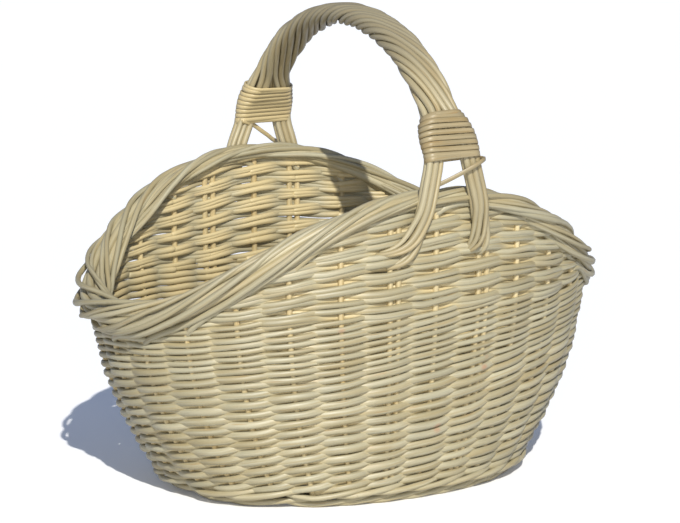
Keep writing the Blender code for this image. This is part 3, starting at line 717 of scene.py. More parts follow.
def leg_route(half, row_place, layer, far, random):
    """Route of one rod of a leg, from the rim down into the weave."""
    table = np.array(SHORT_LEG if (half > 0) != far else LONG_LEG)
    knots = np.arange(len(table))
    fine = np.linspace(0, knots[-1] - random.uniform(0, 0.9), 40)
    x = half * smoothed(np.interp(fine, knots, table[:, 0]), 40)
    height = smoothed(np.interp(fine, knots, table[:, 1]), 40)
    sideways = unit(np.stack([-np.gradient(height), np.gradient(x)], -1))
    twist = LEG_TWIST * smooth(fine / knots[-1])
    place = row_place * np.cos(twist) - layer * LEG_HALF_WIDTH * np.sin(twist)
    place = place * (1 + 0.12 * smooth((fine - 2) / 3))
    place = place + wander(random, len(fine), 12, 0.0012) * smooth(fine)
    if far and half > 0:
        x = x + FAR_LONG_LEG_SHIFT
    x = (HANDLE_FAR_OFFSET if far else HANDLE_NEAR_OFFSET) + x + place * sideways[:, 0]
    height = HIGH_RIM + height + place * sideways[:, 1]
    half_length, half_width = half_sizes(height)
    wall_y = half_width * (1 - (np.abs(x) / half_length) ** OVAL_POWER) ** (1 / OVAL_POWER)
    raised = layer * np.cos(twist) + row_place / LEG_HALF_WIDTH * np.sin(twist)
    bundle = LEG_LIFT + LEG_HALF_THICKNESS * raised - LEG_ROUNDING * place ** 2
    over_border = BORDER_FILL * BORDER_SIDE_DEPTH + bundle
    on_weave = LEG_ON_WEAVE + bundle
    below = smooth((HIGH_RIM - 0.5 * BORDER_SIDE_HEIGHT - height) / 0.012)
    offset = over_border + (on_weave - over_border) * below
    offset = offset * (1 - 0.95 * smooth((fine - fine[-1] + 1.1) / 1.1))
    side = 1 if far else -1
    return np.stack([x, side * (wall_y + offset), height], -1)


def parting(above):
    """0 in the rope and 1 where the rods lie in the rows of the two legs."""
    return smooth((BINDING_LENGTH - above) / BINDING_LENGTH * 1.1)


def handle_rods(sizes, random):
    """Rods twisted over the arch, which part into two legs at each end."""
    last = HANDLE_LENGTH - FAR_BINDING_ABOVE_RIM
    distance = np.linspace(NEAR_BINDING_ABOVE_RIM, last, 200)
    rope_length = last - NEAR_BINDING_ABOVE_RIM - 2 * BINDING_LENGTH
    along = np.clip((distance - NEAR_BINDING_ABOVE_RIM - BINDING_LENGTH) / rope_length, 0, 1)
    wound = along - ROPE_EVENNESS * np.sin(2 * math.pi * along) / (2 * math.pi)
    tightness = 1 - 0.10 * np.sin(math.pi * along)
    above = np.minimum(distance - NEAR_BINDING_ABOVE_RIM, last - distance)
    far_end = distance > HANDLE_LENGTH / 2
    parted = parting(above)
    centre, out = on_handle(distance)
    parts = [(k + 0.5 + random.uniform(-0.12, 0.12)) / HANDLE_RODS for k in range(HANDLE_RODS)]
    near_legs = leg_rows(parts)
    far_legs = leg_rows([part + ROPE_TURNS for part in parts])
    rods = []
    for near, far, part in zip(near_legs, far_legs, parts):
        thick = sizes.handle_rod * random.uniform(0.80, 1.12)
        x, r = flat_ring(part + ROPE_TURNS * wound, ROPE_FLAT, ROPE_ROUND)
        r = r * (1 + wander(random, len(r), 24, 0.07))
        half, row, layer = (np.where(far_end, b, a) for a, b in zip(near, far))
        x = x + half * half_apart(above, far_end)
        bottom = np.where(far_end, under_binding(far[0], True), under_binding(near[0], False)) + row
        x = x + (bottom - x) * parted
        r = r + (layer * LEG_HALF_THICKNESS - r) * parted
        arch = centre + along_x(x) + r[:, None] * out
        near_leg = leg_route(*near, False, random)[::-1]
        far_leg = leg_route(*far, True, random)
        ahead, behind = (np.tile((0.0, side, 0.0), (len(near_leg), 1)) for side in (-1.0, 1.0))
        route = np.concatenate([near_leg, arch, far_leg])
        facing = np.concatenate([ahead, out, behind])
        slimmer = np.concatenate([np.ones(len(near_leg)), tightness, np.ones(len(far_leg))])
        run = run_lengths(route)
        to_end = np.minimum(run, run[-1] - run)
        width = thick * slimmer * (0.62 + 0.38 * smooth(to_end / 0.05))
        rods.append(evened(Rod(route, facing, width, width, 0.0)))
    return rods


def leg_rows(parts):
    """For each rod the half it belongs to, its place across that leg and its layer, 1 front or -1 back."""
    sides = [1 if abs((part + 0.25) % 1.0) < 0.5 else -1 for part in parts]
    rows = {}
    for side in (1, -1):
        start = -0.25 if side > 0 else 0.25
        members = [k for k, s in enumerate(sides) if s == side]
        members.sort(key=lambda k: (parts[k] - start) % 1.0)
        middle = len(members) // 2 if side > 0 else (len(members) + 1) // 2
        first, last = members[:middle], members[middle:][::-1]
        for layer, row in ((-side, first), (side, last)):
            for n, k in enumerate(row):
                rows[k] = (side, side * (n - (len(row) - 1) / 2) * LEG_ROD_STEP, layer)
    return [rows[k] for k in range(len(parts))]


def smoothed(route, rounds):
    """The route with its corners eased, its ends kept."""
    eased = route.copy()
    for _ in range(rounds):
        eased[1:-1] = 0.25 * eased[:-2] + 0.5 * eased[1:-1] + 0.25 * eased[2:]
    return eased


def evened(rod):
    """The rod with its bends eased over equal lengths."""
    route, outward, width, depth, tuck_and_painted_light = resample(rod, 400)
    return Rod(smoothed(route, 36), smoothed(outward, 60), width, depth, tuck_and_painted_light)


def core_rods():
    """Straight rods inside the rope, which the others are wound round."""
    first = NEAR_BINDING_ABOVE_RIM + BINDING_LENGTH - ROPE_CORE_IN_BINDING
    last = HANDLE_LENGTH - FAR_BINDING_ABOVE_RIM - BINDING_LENGTH + ROPE_CORE_IN_BINDING
    centre, out = on_handle(np.linspace(first, last, 90))
    # The core shows only in the shade between the wound rods; 0.7 of the painted crevice light lightens it.
    return [
        Rod(centre + (x, 0, 0), out, ROPE_CORE_WIDTH, ROPE_CORE_DEPTH, 0.7)
        for x in (-ROPE_CORE_WIDTH, 0.0, ROPE_CORE_WIDTH)
    ]


def above_binding(above, far):
    """Middle and outward direction at lengths above the lower edge of the near or the far binding."""
    if far:
        return on_handle(HANDLE_LENGTH - FAR_BINDING_ABOVE_RIM - above)
    return on_handle(NEAR_BINDING_ABOVE_RIM + above)


def rod_edges(sizes, above, far):
    """Left and right edge of the handle's rods and half their thickness, above a binding's lower edge."""
    parted = parting(above)
    edges = []
    for half in (-1, 1):
        rope = half * (ROPE_FLAT / 2 + ROPE_ROUND + half_apart(above, far))
        legs = under_binding(half, far) + half * LEG_ROD_STEP
        edges.append(rope + (legs - rope) * parted + half * sizes.handle_rod / 2)
    thickness = ROPE_ROUND + (LEG_HALF_THICKNESS - ROPE_ROUND) * parted + sizes.handle_rod / 2
    return edges[0], edges[1], thickness


def binding_rod(sizes, far, random):
    """Skein wound round both halves of the handle in turns that lie edge to edge."""
    turn = np.linspace(0, BINDING_TURNS, BINDING_TURNS * 60 + 1)
    pitch = BINDING_LENGTH / (BINDING_TURNS - 1)
    above = pitch * np.clip(turn - 1, 0, BINDING_TURNS - 2) * (BINDING_TURNS - 1) / (BINDING_TURNS - 2)
    above = above + wander(random, len(turn), 24, 0.0003)
    left, right, thickness = rod_edges(sizes, above, far)
    radius = thickness + SKEIN_THICKNESS / 2 + wander(random, len(turn), 14, 0.0002)
    flat = right - left + SKEIN_THICKNESS - 2 * radius
    x, r = flat_ring((0.25 if far else 0.75) + turn, flat, radius)
    tilt = np.interp(above, (0, BINDING_LENGTH), FAR_BINDING_TILT if far else NEAR_BINDING_TILT)
    lean = FAR_BINDING_LEAN if far else 0.0
    centre, out = above_binding(above + tilt * x - lean * r, far)
    edge = np.copysign(np.maximum(np.abs(x) - flat / 2, 0), x)
    middle = (left + right) / 2
    route = centre + along_x(x + middle) + r[:, None] * out
    facing = unit(along_x(edge) + r[:, None] * out)
    width = sizes.skein * (1 + wander(random, len(turn), 12, 0.05))
    # The far binding gets painted light: its skein is lightened with the crevice colour.
    return Rod(route, facing, width, SKEIN_THICKNESS, FAR_BINDING_PAINTED_LIGHT if far else 0.0, SKEIN_CORNERS)


def tie_rod(sizes, far):
    """A strip from the binding's lower corner across one leg and behind the other."""
    face = LEG_HALF_THICKNESS + sizes.handle_rod / 2 + TIE_OVER_LEG
    turned = -1 if far else 1
    points = []
    for x, above, lift in FAR_TIE if far else NEAR_TIE:
        centre, out = above_binding(np.array([above]), far)
        points.append(centre[0] + (turned * x, 0, 0) + face * lift * out[0])
    route = smoothed(np.array(points).repeat(6, axis=0), 8)
    facing = np.tile((0.0, -1.0 * turned, 0.0), (len(route), 1))
    # The far tie gets full painted light: its skein is lightened with the crevice colour, standing in for sun
    # that falls on it.
    return Rod(route, facing, sizes.skein * 0.9, TIE_THICKNESS, 1.0 if far else 0.0, SKEIN_CORNERS)


# Base

def base_arms():
    """Inner and outer end of each stick's arm, in order round the base."""
    half_length, half_width = half_sizes(STICK_LEVEL)
    edge_x, edge_y = half_length - BASE_EDGE_INSET, half_width - BASE_EDGE_INSET
    angles = even_angles(2 * (LONG_STICKS + CROSS_STICKS), edge_x, edge_y)[:-1]
    outer = np.stack(oval(edge_x, edge_y, angles), -1)
    reach_x = (CROSS_STICKS - 1) / 2 * CROSS_STICK_STEP + BASE_FAN_FROM_X
    long_places = [(k - (LONG_STICKS - 1) / 2) * LONG_STICK_STEP for k in range(LONG_STICKS)]
    cross_places = [((CROSS_STICKS - 1) / 2 - k) * CROSS_STICK_STEP for k in range(CROSS_STICKS)]
    inner = [(reach_x, long_places[1]), (reach_x, long_places[2])]
    inner += [(x, BASE_FAN_FROM_Y) for x in cross_places]
    inner += [(-reach_x, y) for y in reversed(long_places)]
    inner += [(x, -BASE_FAN_FROM_Y) for x in reversed(cross_places)]
    inner.append((reach_x, long_places[0]))
    return np.array(inner), outer


def base_sticks():
    """Long sticks through the slits of the cross sticks, each fanned out to the edge."""
    inner, outer = base_arms()
    count = len(inner)
    rods = []
    half = LONG_STICKS + CROSS_STICKS
    pairs = [(0, half), (1, half - 1), (count - 1, half + 1)]
    pairs += [(2 + k, count - 2 - k) for k in range(CROSS_STICKS)]
    for number, (a, b) in enumerate(pairs):
        corners = [outer[a], inner[a], inner[b], outer[b]]
        flat = smoothed(sample(np.linspace(0, 3, 61), np.arange(4), corners), 12)
        middle = np.exp(-(np.linspace(-1.5, 1.5, 61) / SLIT_LENGTH) ** 2)
        slit = number >= LONG_STICKS
        for half_side in ((-1, 1) if slit else (0,)):
            level = STICK_LEVEL + half_side * (SLIT_SPREAD + SLIT_SPREAD_AT_LONG_STICKS * middle)
            route = np.concatenate([flat, level[:, None]], 1)
            width = CROSS_STICK_WIDTH if slit else LONG_STICK_WIDTH
            depth = CROSS_STICK_HALF_DEPTH if slit else LONG_STICK_DEPTH
            rods.append(Rod(route, np.tile((0.0, 0.0, 1.0), (61, 1)), width, depth, 0.0))
    return rods


def base_weave_rods(sizes, random):
    """Two rods paired round the sticks from the middle out to the foot."""
    inner, outer = base_arms()
    count = len(inner)
    arms = outer - inner
    lengths = np.linalg.norm(arms, axis=1)
    pitch = sizes.base_weaver * BASE_WEAVE_PITCH
    rows = int(lengths.min() / pitch) - 1
    rods = []
    for weaver in range(2):
        turn = np.arange(0.0, rows * count, 0.125)
        place = np.mod(turn, count)
        low = np.floor(place).astype(int)
        high = (low + 1) % count
        between = place - low
        gone = (turn / count + 0.5) / (rows + 0.5)
        start = BASE_WEAVE_START / lengths
        at_low, at_high = (
            inner[arm] + arms[arm] * (start[arm] + (1 - start[arm]) * gone)[:, None] for arm in (low, high)
        )
        flat = at_low + (at_high - at_low) * between[:, None]
        flat = flat * (1 + 0.012 * np.sin(math.pi * between) * gone)[:, None]
        level = STICK_LEVEL + (BASE_WEAVE_REACH + sizes.base_weaver / 2) * np.cos(math.pi * (turn + weaver))
        level = level + wander(random, len(turn), 6, 0.0002)
        route = np.concatenate([flat, level[:, None]], 1)
        facing = np.tile((0.0, 0.0, 1.0), (len(turn), 1))
        # Base rods get a little painted crevice light, standing in for bounce light in the shade between
        # them.
        rods.append(Rod(route, facing, sizes.base_weaver, sizes.base_weaver, 0.1))
    return rods


# Finishes

class Link:
    """A shader socket that Python's operators can work on."""

    def __init__(self, bench, socket):
        self.bench = bench
        self.socket = socket

    def __add__(self, other):
        return self.bench.maths("ADD", self, other)

    __radd__ = __add__

    def __mul__(self, other):
        return self.bench.maths("MULTIPLY", self, other)

    __rmul__ = __mul__

    def __sub__(self, other):
        return self.bench.maths("SUBTRACT", self, other)

    def __rsub__(self, other):
        return self.bench.maths("SUBTRACT", other, self)


class Bench:
    """Adds nodes to one material or world."""

    def __init__(self, owner):
        owner.use_nodes = True
        self.tree = owner.node_tree
        self.tree.nodes.clear()

    def node(self, kind, settings=None, **inputs):
        """Add a node with its settings, then its socket values or links, and return it."""
        made = self.tree.nodes.new("ShaderNode" + kind)
        for name, value in (settings or {}).items():
            setattr(made, name, value)
        for name, value in inputs.items():
            key = int(name[1:]) if name[0] == "_" else name.replace("_", " ")
            self.feed(made.inputs[key], value)
        return made

    def feed(self, socket, value):
        """Link or set one socket."""
        if isinstance(value, Link):
            self.tree.links.new(value.socket, socket)
        else:
            socket.default_value = value

    def out(self, node, name=0):
        """One output of a node, ready for expressions."""
        return Link(self, node.outputs[name])

    def maths(self, operation, a, b):
        """A Math node."""
        return self.out(self.node("Math", {"operation": operation}, _0=a, _1=b))

    def blend(self, factor, a, b, how="MIX"):
        """Mix two colours."""
        mixer = self.node("Mix", {"data_type": "RGBA", "blend_type": how}, _0=factor, _6=a, _7=b)
        return self.out(mixer, 2)

    def ease(self, value, low, high):
        """0 below low, 1 above high and a smooth ramp between."""
        ramp = self.node(
            "MapRange", {"interpolation_type": "SMOOTHSTEP"}, Value=value, From_Min=low, From_Max=high,
        )
        return self.out(ramp)

    def noise(self, vector, scale, detail=3.0, roughness=0.55):
        """Noise at a scale over a vector."""
        made = self.node("TexNoise", None, Vector=vector, Scale=scale, Detail=detail, Roughness=roughness)
        return self.out(made, "Fac")


def colour(rgb):
    """A colour with full alpha."""
    return (rgb[0], rgb[1], rgb[2], 1.0)


def stain_points():
    """Middles of the brown stains on the near side of the wall."""
    return [wall_point(*place) + STAIN_OUT * wall_outward(*place) for place in STAIN_PLACES]


def willow_finish(name, pale, gloss=0.46, spread=0.4, dulling=0.25, mottle=1.0, stained=False, darker_top=False):
    """Peeled willow: long grain, a tone of its own for each rod, leaf scars, and painted warm crevice light
    where rods lie in shade behind others.
    """
    looks = bpy.context.scene.basket_colours
    deep, cream, cool = (tuple(np.multiply(pale, tint)) for tint in (RIPE_TINT, CREAM_TINT, COOL_TINT))
    bench = Bench(bpy.data.materials.new(GRAIN + name))
    straight = bench.out(bench.node("Attribute", {"attribute_name": "straight_rod"}), "Vector")
    tone = bench.out(bench.node("Attribute", {"attribute_name": "tone"}), "Fac")
    painted_crevice_light = bench.out(bench.node("Attribute", {"attribute_name": "painted_crevice_light"}), "Fac")
    parts = bench.node("SeparateXYZ", None, Vector=straight)
    along, across, facing = (bench.out(parts, axis) for axis in range(3))

    def stretched(lengthwise, crosswise, offset):
        return bench.out(bench.node(
            "CombineXYZ", None,
            X=along * lengthwise + tone * offset, Y=across * crosswise, Z=facing * crosswise,
        ))

    def grain_at(lengthwise, crosswise, offset, detail):
        return bench.noise(stretched(lengthwise, crosswise, offset), 1.0, detail, 0.6)

    streak = grain_at(11, 480, 71.0, 3.0)
    fibre = grain_at(55, 1900, 37.0, 2.0)
    blotch = grain_at(16, 60, 113.0, 3.0)
    scar = bench.node(
        "TexVoronoi", {"feature": "F1"}, Vector=stretched(19, 230, 53), Scale=1.0, Randomness=1.0,
    )
    scarred = 1 - bench.ease(bench.out(scar, "Distance"), 0.05, 0.17)
    base = bench.blend(bench.ease(tone, 0.45, 1.0) * spread, colour(pale), colour(deep))
    base = bench.blend((1 - bench.ease(tone, 0.0, 0.4)) * 0.65, base, colour(cream))
    base = bench.blend(bench.ease(blotch, 0.50, 0.70) * 0.55 * mottle, base, colour(deep))
    base = bench.blend(bench.ease(blotch, 0.50, 0.34) * 0.45 * mottle, base, colour(cool))
    base = bench.blend(bench.ease(streak, 0.50, 0.66) * 0.55, base, colour(deep))
    base = bench.blend(bench.ease(streak, 0.50, 0.36) * 0.60, base, colour(cream))
    base = bench.blend(bench.ease(fibre, 0.48, 0.66) * 0.22, base, colour(looks.scar))
    base = bench.blend(scarred * 0.55, base, colour(looks.scar))
    uneven = bench.maths("FRACT", tone * 7.3, 0.0)
    base = bench.blend(uneven * dulling, base, colour(np.multiply(pale, DULL_TINT)))
    # Painted crevice light: a lighter, warm colour where rods lie in shade behind others, standing in for
    # bounce light.
    base = bench.blend(painted_crevice_light * 0.75, base, colour(looks.painted_crevice_light))
    place = bench.out(bench.node("TexCoord"), "Object")
    # Darker towards the top of the handle, from a height of 0.315 m up.
    if darker_top:
        height = bench.out(bench.node("SeparateXYZ", None, Vector=place), 2)
        near_top = bench.ease(height + blotch * 0.02, DARKER_TOP_FROM, DARKER_TOP_UP_TO)
        base = bench.blend(near_top * 0.62, base, colour(looks.darker_top))
    if stained:
        for point in stain_points():
            away = bench.node("VectorMath", {"operation": "DISTANCE"}, _0=place, _1=tuple(point))
            near = 1 - bench.ease(bench.out(away, "Value") + blotch * 0.004, 0.0030, 0.0068)
            base = bench.blend(near * 0.72, base, colour(looks.stain))
    height = streak * 0.7 + fibre * 0.4 + scarred * 0.5
    bump = bench.node("Bump", None, Strength=0.45, Distance=0.0006, Height=height)
    roughness = gloss + 0.25 * (fibre - 0.5) + 0.15 * (streak - 0.5)
    shader = bench.node(
        "BsdfPrincipled", None, Base_Color=base, Roughness=roughness, Normal=bench.out(bump),
        Coat_Weight=0.05, Coat_Roughness=0.30, Specular_IOR_Level=0.5,
    )
    bench.node("OutputMaterial", None, Surface=bench.out(shader))


def floor_finish(stage):
    """Pale floor that looks white to the camera and keeps the basket's shadow."""
    material = bpy.data.materials.new("pale_floor")
    bench = Bench(material)
    rays = bench.node("LightPath")
    seen = bench.out(rays, "Is Camera Ray")
    near = bench.node("BsdfDiffuse", None, Color=colour(stage.floor_colour))
    white = bench.node("BsdfDiffuse", None, Color=WHITE)
    lift = bench.node("Emission", None, Color=WHITE, Strength=stage.floor_lift)
    both = bench.node("AddShader", None, _0=bench.out(white), _1=bench.out(lift))
    chosen = bench.node("MixShader", None, _0=seen, _1=bench.out(near), _2=bench.out(both))
    bench.node("OutputMaterial", None, Surface=bench.out(chosen))
    return material


# What a user may change

class BasketRods(bpy.types.PropertyGroup):
    """Thickness of each kind of rod."""

    stake: FloatProperty(
        name="Stake", description="Thickness of the uprights", default=0.0047, unit="LENGTH", precision=4,
    )
    rand_rod: FloatProperty(
        name="Wall rod", description="Thickness of the wall's rods low down; they thin upwards",
        default=0.0053, unit="LENGTH", precision=4,
    )
    slew_rod: FloatProperty(
        name="Side rod", description="Thickness of the paired rods of the raised sides", default=0.0049,
        unit="LENGTH", precision=4,
    )
    wale_rod: FloatProperty(
        name="Foot rod", description="Thickness of the rods of the lowest rounds", default=0.0043,
        unit="LENGTH", precision=4,
    )
    border_rod: FloatProperty(
        name="Border rod", description="Thickness of the rods of the rolled border", default=0.0049,
        unit="LENGTH", precision=4,
    )
    handle_rod: FloatProperty(
        name="Handle rod", description="Thickness of the handle's rods", default=0.0051,
        unit="LENGTH", precision=4,
    )
    skein: FloatProperty(
        name="Skein", description="Width of the split willow round the handle", default=0.0038,
        unit="LENGTH", precision=4,
    )
    base_weaver: FloatProperty(
        name="Base rod", description="Thickness of the rods woven round the base's sticks", default=0.0031,
        unit="LENGTH", precision=4,
    )
    seed: IntProperty(name="Seed", description="Which of many uneven weaves is made", default=7, min=0)


class BasketColours(bpy.types.PropertyGroup):
    """Colours of the willow."""

    pale: FloatVectorProperty(
        name="Willow", description="Colour of most rods; riper, creamier and cooler ones are mixed from it",
        default=(0.342, 0.315, 0.206), subtype="COLOR", min=0, max=1,
    )
    handle: FloatVectorProperty(
        name="Handle", description="Colour of the handle's rods", default=(0.365, 0.323, 0.201),
        subtype="COLOR", min=0, max=1,
    )
    # Colour the handle darkens to towards its top.
    darker_top: FloatVectorProperty(
        name="Darker handle top", description="Colour that the handle darkens to near its top",
        default=(0.21, 0.185, 0.125), subtype="COLOR", min=0, max=1,
    )
    # Painted crevice light: warm colour mixed in where rods lie in shade behind others, standing in for
    # bounce light.
    painted_crevice_light: FloatVectorProperty(
        name="Painted crevice light", description="Colour painted where rods lie in shade behind others",
        default=(0.62, 0.50, 0.26), subtype="COLOR", min=0, max=1,
    )
    # Own colour of the uprights, set lighter than the wall's rods as painted light where they show in the
    # shaded gaps between rows.
    stake: FloatVectorProperty(
        name="Stake", description="Colour of the uprights", default=(0.50, 0.41, 0.22),
        subtype="COLOR", min=0, max=1,
    )
    scar: FloatVectorProperty(
        name="Leaf scar", description="Colour of leaf scars and small knots", default=(0.34, 0.22, 0.09),
        subtype="COLOR", min=0, max=1,
    )
    stain: FloatVectorProperty(
        name="Stain", description="Colour of the few brown stains", default=(0.40, 0.21, 0.12),
        subtype="COLOR", min=0, max=1,
    )
    skein: FloatVectorProperty(
        name="Skein", description="Colour of the split willow", default=(0.285, 0.232, 0.128),
        subtype="COLOR", min=0, max=1,
    )


class BasketStage(bpy.types.PropertyGroup):
    """Floor and light."""

    floor_colour: FloatVectorProperty(
        name="Floor", description="Colour of the floor", default=(0.80, 0.80, 0.80),
        subtype="COLOR", min=0, max=1,
    )
    sky: FloatVectorProperty(
        name="Sky light", description="Colour of the light from all around", default=(0.385, 0.56, 0.985),
        subtype="COLOR", min=0, max=1,
    )
    floor_lift: FloatProperty(
        name="Floor lift", description="Light added to the seen floor", default=0.075, min=0,
    )
    key: FloatProperty(name="Key light", description="Strength of the main light", default=3.95, min=0)
    fill: FloatProperty(
        name="Fill light", description="Strength of the light from all around", default=0.285, min=0,
    )
    front: FloatProperty(
        name="Front light", description="Strength of the soft light from the camera's side",
        default=1.6, min=0,
    )


# Steps of the build

def shared():
    """Sizes and a random source for one step."""
    sizes = bpy.context.scene.basket_rods
    return sizes, np.random.default_rng(sizes.seed)


def nodes(prefix):
    """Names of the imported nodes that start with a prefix."""
    return [name for name in sorted(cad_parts) if name.startswith(prefix)]


class BASKET_OT_finishes(bpy.types.Operator):
    """Mix the finishes of all kinds of rod"""

    bl_idname = "basket.finishes"
    bl_label = "Finishes"

    def execute(self, context):
        looks = context.scene.basket_colours
        willow_finish("weaver_willow", looks.pale, stained=True)
        willow_finish("stake_willow", looks.stake)
        willow_finish("border_willow", np.multiply(looks.pale, 1.03), spread=0.5, dulling=0.3)
        willow_finish("handle_willow", np.multiply(looks.handle, 1.06), spread=0.6, dulling=0.6, darker_top=True)
        willow_finish("base_willow", looks.pale, gloss=0.5, spread=1.0)
        willow_finish("binding_skein", looks.skein, gloss=0.42, dulling=0.0, mottle=1.7)
        return {"FINISHED"}


class BASKET_OT_base(bpy.types.Operator):
    """Slit sticks and the weave round them"""

    bl_idname = "basket.base"
    bl_label = "Base"

    def execute(self, context):
        sizes, random = shared()
        sticks = nodes("base_long_stick") + nodes("base_cross_stick")
        make_piece("base_sticks", base_sticks(), "base_willow", sticks, random)
        make_piece(
            "base_pairing", base_weave_rods(sizes, random), "base_willow", nodes("base_weave"), random,
            step=0.005, sides=6,
        )
        return {"FINISHED"}


class BASKET_OT_foot(bpy.types.Operator):
    """Three-rod wales at the foot and above the bends of the stakes"""

    bl_idname = "basket.foot"
    bl_label = "Foot"

    def execute(self, context):
        sizes, random = shared()
        foot = wale_rods(
            middle_height=0.0037, middle_offset=-0.0024, side_reach=0.0022, rise=0.0020,
            thick=sizes.wale_rod, random=random,
        )
        make_piece("foot_wale_rods", foot, "weaver_willow", ["foot_wale"], random, step=0.0035, floor=0.0)
        upset = wale_rods(
            middle_height=0.0122, middle_offset=0.0, side_reach=(sizes.stake + sizes.wale_rod) / 2,
            rise=0.0023, thick=sizes.wale_rod, random=random,
        )
        make_piece("upset_wale_rods", upset, "weaver_willow", ["upset_wale"], random, step=0.0035)
        return {"FINISHED"}


class BASKET_OT_stakes(bpy.types.Operator):
    """Uprights of the wall, with liners beside those near the handle"""

    bl_idname = "basket.stakes"
    bl_label = "Stakes"

    def execute(self, context):
        sizes, random = shared()
        make_piece("wall_stakes", stake_rods(sizes), "stake_willow", nodes("stake_"), random, step=0.006)
        return {"FINISHED"}


class BASKET_OT_wall(bpy.types.Operator):
    """Randed wall and the paired rods of its raised sides"""

    bl_idname = "basket.wall"
    bl_label = "Wall"

    def execute(self, context):
        sizes, random = shared()
        rods = rand_rods(sizes, random)
        make_piece("wall_rand_1", rods[::2], "weaver_willow", ["wall_weave_1"], random)
        make_piece("wall_rand_2", rods[1::2], "weaver_willow", ["wall_weave_2"], random)
        sides = slew_rods(sizes, random)
        front = [rod for rod in sides if rod.route[:, 1].mean() < 0]
        back = [rod for rod in sides if rod.route[:, 1].mean() >= 0]
        make_piece("side_slewing_front", front, "weaver_willow", ["side_packing_front"], random)
        make_piece("side_slewing_back", back, "weaver_willow", ["side_packing_back"], random)
        return {"FINISHED"}


class BASKET_OT_border(bpy.types.Operator):
    """Border rolled from stake tops and added rods"""

    bl_idname = "basket.border"
    bl_label = "Border"

    def execute(self, context):
        sizes, random = shared()
        rods = border_rods(sizes, random) + border_core(sizes, random)
        # shaded_side paints warm crevice light onto the inward half of each border rod.
        make_piece(
            "rolled_border", rods, "border_willow", nodes("border_strand"), random,
            step=0.005, sides=10, shaded_side=0.2,
        )
        return {"FINISHED"}


class BASKET_OT_handle(bpy.types.Operator):
    """Roped handle with its legs"""

    bl_idname = "basket.handle"
    bl_label = "Handle"

    def execute(self, context):
        sizes, random = shared()
        rods = handle_rods(sizes, random) + core_rods()
        make_piece("roped_handle", rods, "handle_willow", nodes("handle_rod"), random, sides=12)
        return {"FINISHED"}


class BASKET_OT_bindings(bpy.types.Operator):
    """Skein bindings and the ties under them"""

    bl_idname = "basket.bindings"
    bl_label = "Bindings"

    def execute(self, context):
        sizes, random = shared()
        for name, far in (("near", False), ("far", True)):
            make_piece(
                f"skein_binding_{name}", [binding_rod(sizes, far, random)], "binding_skein",
                [f"handle_binding_{name}"], random, step=0.002,
            )
            make_piece(
                f"skein_tie_{name}", [tie_rod(sizes, far)], "binding_skein", [f"handle_tie_{name}"], random,
                step=0.003,
            )
        return {"FINISHED"}


class BASKET_OT_stage(bpy.types.Operator):
    """Floor, light and camera"""

    bl_idname = "basket.stage"
    bl_label = "Stage"

    def execute(self, context):
        stage = context.scene.basket_stage
        bpy.ops.object.select_all(action="DESELECT")
        bpy.ops.mesh.primitive_plane_add(size=FLOOR_SIZE)
        floor = context.object
        floor.name = "floor"
        floor.data.materials.append(floor_finish(stage))
        add_world(stage)
        add_lamp("key", SUN_AZIMUTH, SUN_ELEVATION, SUN_WIDTH, stage.key)
        add_lamp("front", CAMERA_AZIMUTH, FRONT_ELEVATION, FRONT_WIDTH, stage.front)
        add_camera()
        context.scene.view_settings.view_transform = "Standard"
        return {"FINISHED"}


def direction(azimuth, elevation):
    """Direction from the basket towards a camera or a lamp."""
    level = math.cos(elevation)
    return Vector((level * math.sin(azimuth), -level * math.cos(azimuth), math.sin(elevation)))


def add_world(stage):
    """Even light from all around, and white where the camera looks past the floor."""
    world = bpy.data.worlds.new("studio")
    bpy.context.scene.world = world
    bench = Bench(world)
    rays = bench.node("LightPath")
    seen = bench.maths("MAXIMUM", bench.out(rays, "Is Camera Ray"), bench.out(rays, "Is Transmission Ray"))
    light = bench.node("Background", None, Color=colour(stage.sky), Strength=stage.fill)
    white = bench.node("Background", None, Color=WHITE, Strength=1.0)
    mix = bench.node("MixShader", None, _0=seen, _1=bench.out(light), _2=bench.out(white))
    bench.node("OutputWorld", None, Surface=bench.out(mix))


def add_lamp(name, azimuth, elevation, width, strength):
    """A lamp far away, seen under an angle that sets how soft its shadows are."""
    toward = direction(azimuth, elevation)
    lamp = bpy.data.lights.new(name, "SUN")
    lamp.energy = strength
    lamp.angle = width
    lamp.color = LAMP_COLOUR
    placed = bpy.data.objects.new(name, lamp)
    bpy.context.collection.objects.link(placed)
    placed.rotation_euler = toward.to_track_quat("Z", "Y").to_euler()
    placed.location = toward * LAMP_DISTANCE


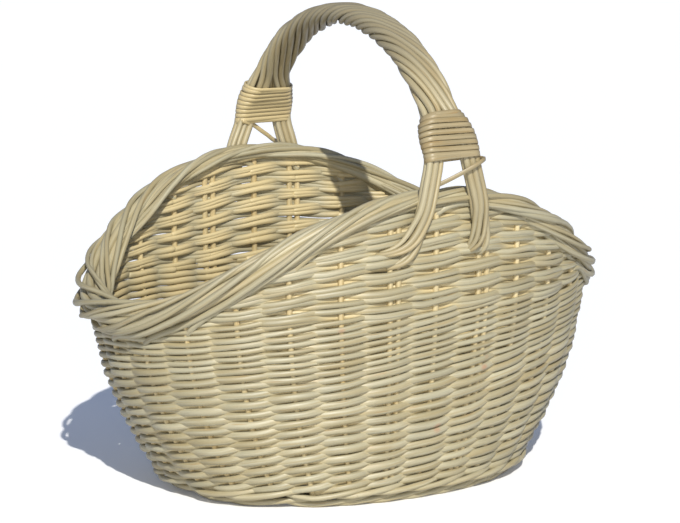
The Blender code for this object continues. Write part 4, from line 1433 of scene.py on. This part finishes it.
def add_camera():
    """Camera at the fitted place."""
    back = direction(CAMERA_AZIMUTH, CAMERA_ELEVATION)
    right = Vector((0, 0, 1)).cross(back).normalized()
    up = back.cross(right)
    aim = (-back + CAMERA_PAN * right + CAMERA_TILT * up).normalized()
    lens = bpy.data.cameras.new("camera")
    lens.lens = CAMERA_LENS
    lens.sensor_width = 36
    lens.clip_end = 100
    camera = bpy.data.objects.new("camera", lens)
    bpy.context.collection.objects.link(camera)
    camera.location = Vector((0, 0, CAMERA_TARGET_HEIGHT)) + CAMERA_DISTANCE * back
    camera.rotation_euler = aim.to_track_quat("-Z", "Y").to_euler()
    bpy.context.scene.camera = camera


class BASKET_PT_panel(bpy.types.Panel):
    """Lists the basket's sizes, colours and steps"""

    bl_idname = "BASKET_PT_panel"
    bl_label = "Willow basket"
    bl_space_type = "VIEW_3D"
    bl_region_type = "UI"
    bl_category = "Willow basket"

    def draw(self, context):
        for group in (context.scene.basket_rods, context.scene.basket_colours, context.scene.basket_stage):
            box = self.layout.box()
            for name in group.__annotations__:
                box.prop(group, name)
        for step in STEPS:
            self.layout.operator(step.bl_idname)


GROUPS = {"basket_rods": BasketRods, "basket_colours": BasketColours, "basket_stage": BasketStage}
STEPS = (
    BASKET_OT_finishes, BASKET_OT_base, BASKET_OT_foot, BASKET_OT_stakes, BASKET_OT_wall, BASKET_OT_border,
    BASKET_OT_handle, BASKET_OT_bindings, BASKET_OT_stage,
)


def register():
    """Make the sizes, steps and panel known to Blender."""
    for name, group in GROUPS.items():
        bpy.utils.register_class(group)
        setattr(bpy.types.Scene, name, PointerProperty(type=group))
    for part in STEPS + (BASKET_PT_panel,):
        bpy.utils.register_class(part)


def unregister():
    """Take away what register added."""
    for part in reversed(STEPS + (BASKET_PT_panel,)):
        bpy.utils.unregister_class(part)
    for name, group in GROUPS.items():
        delattr(bpy.types.Scene, name)
        bpy.utils.unregister_class(group)


def main():
    """Build the basket step by step."""
    register()
    for step in STEPS:
        group, name = step.bl_idname.split(".")
        getattr(getattr(bpy.ops, group), name)()
    remove_blanks()


if __name__ == "__main__":
    main()
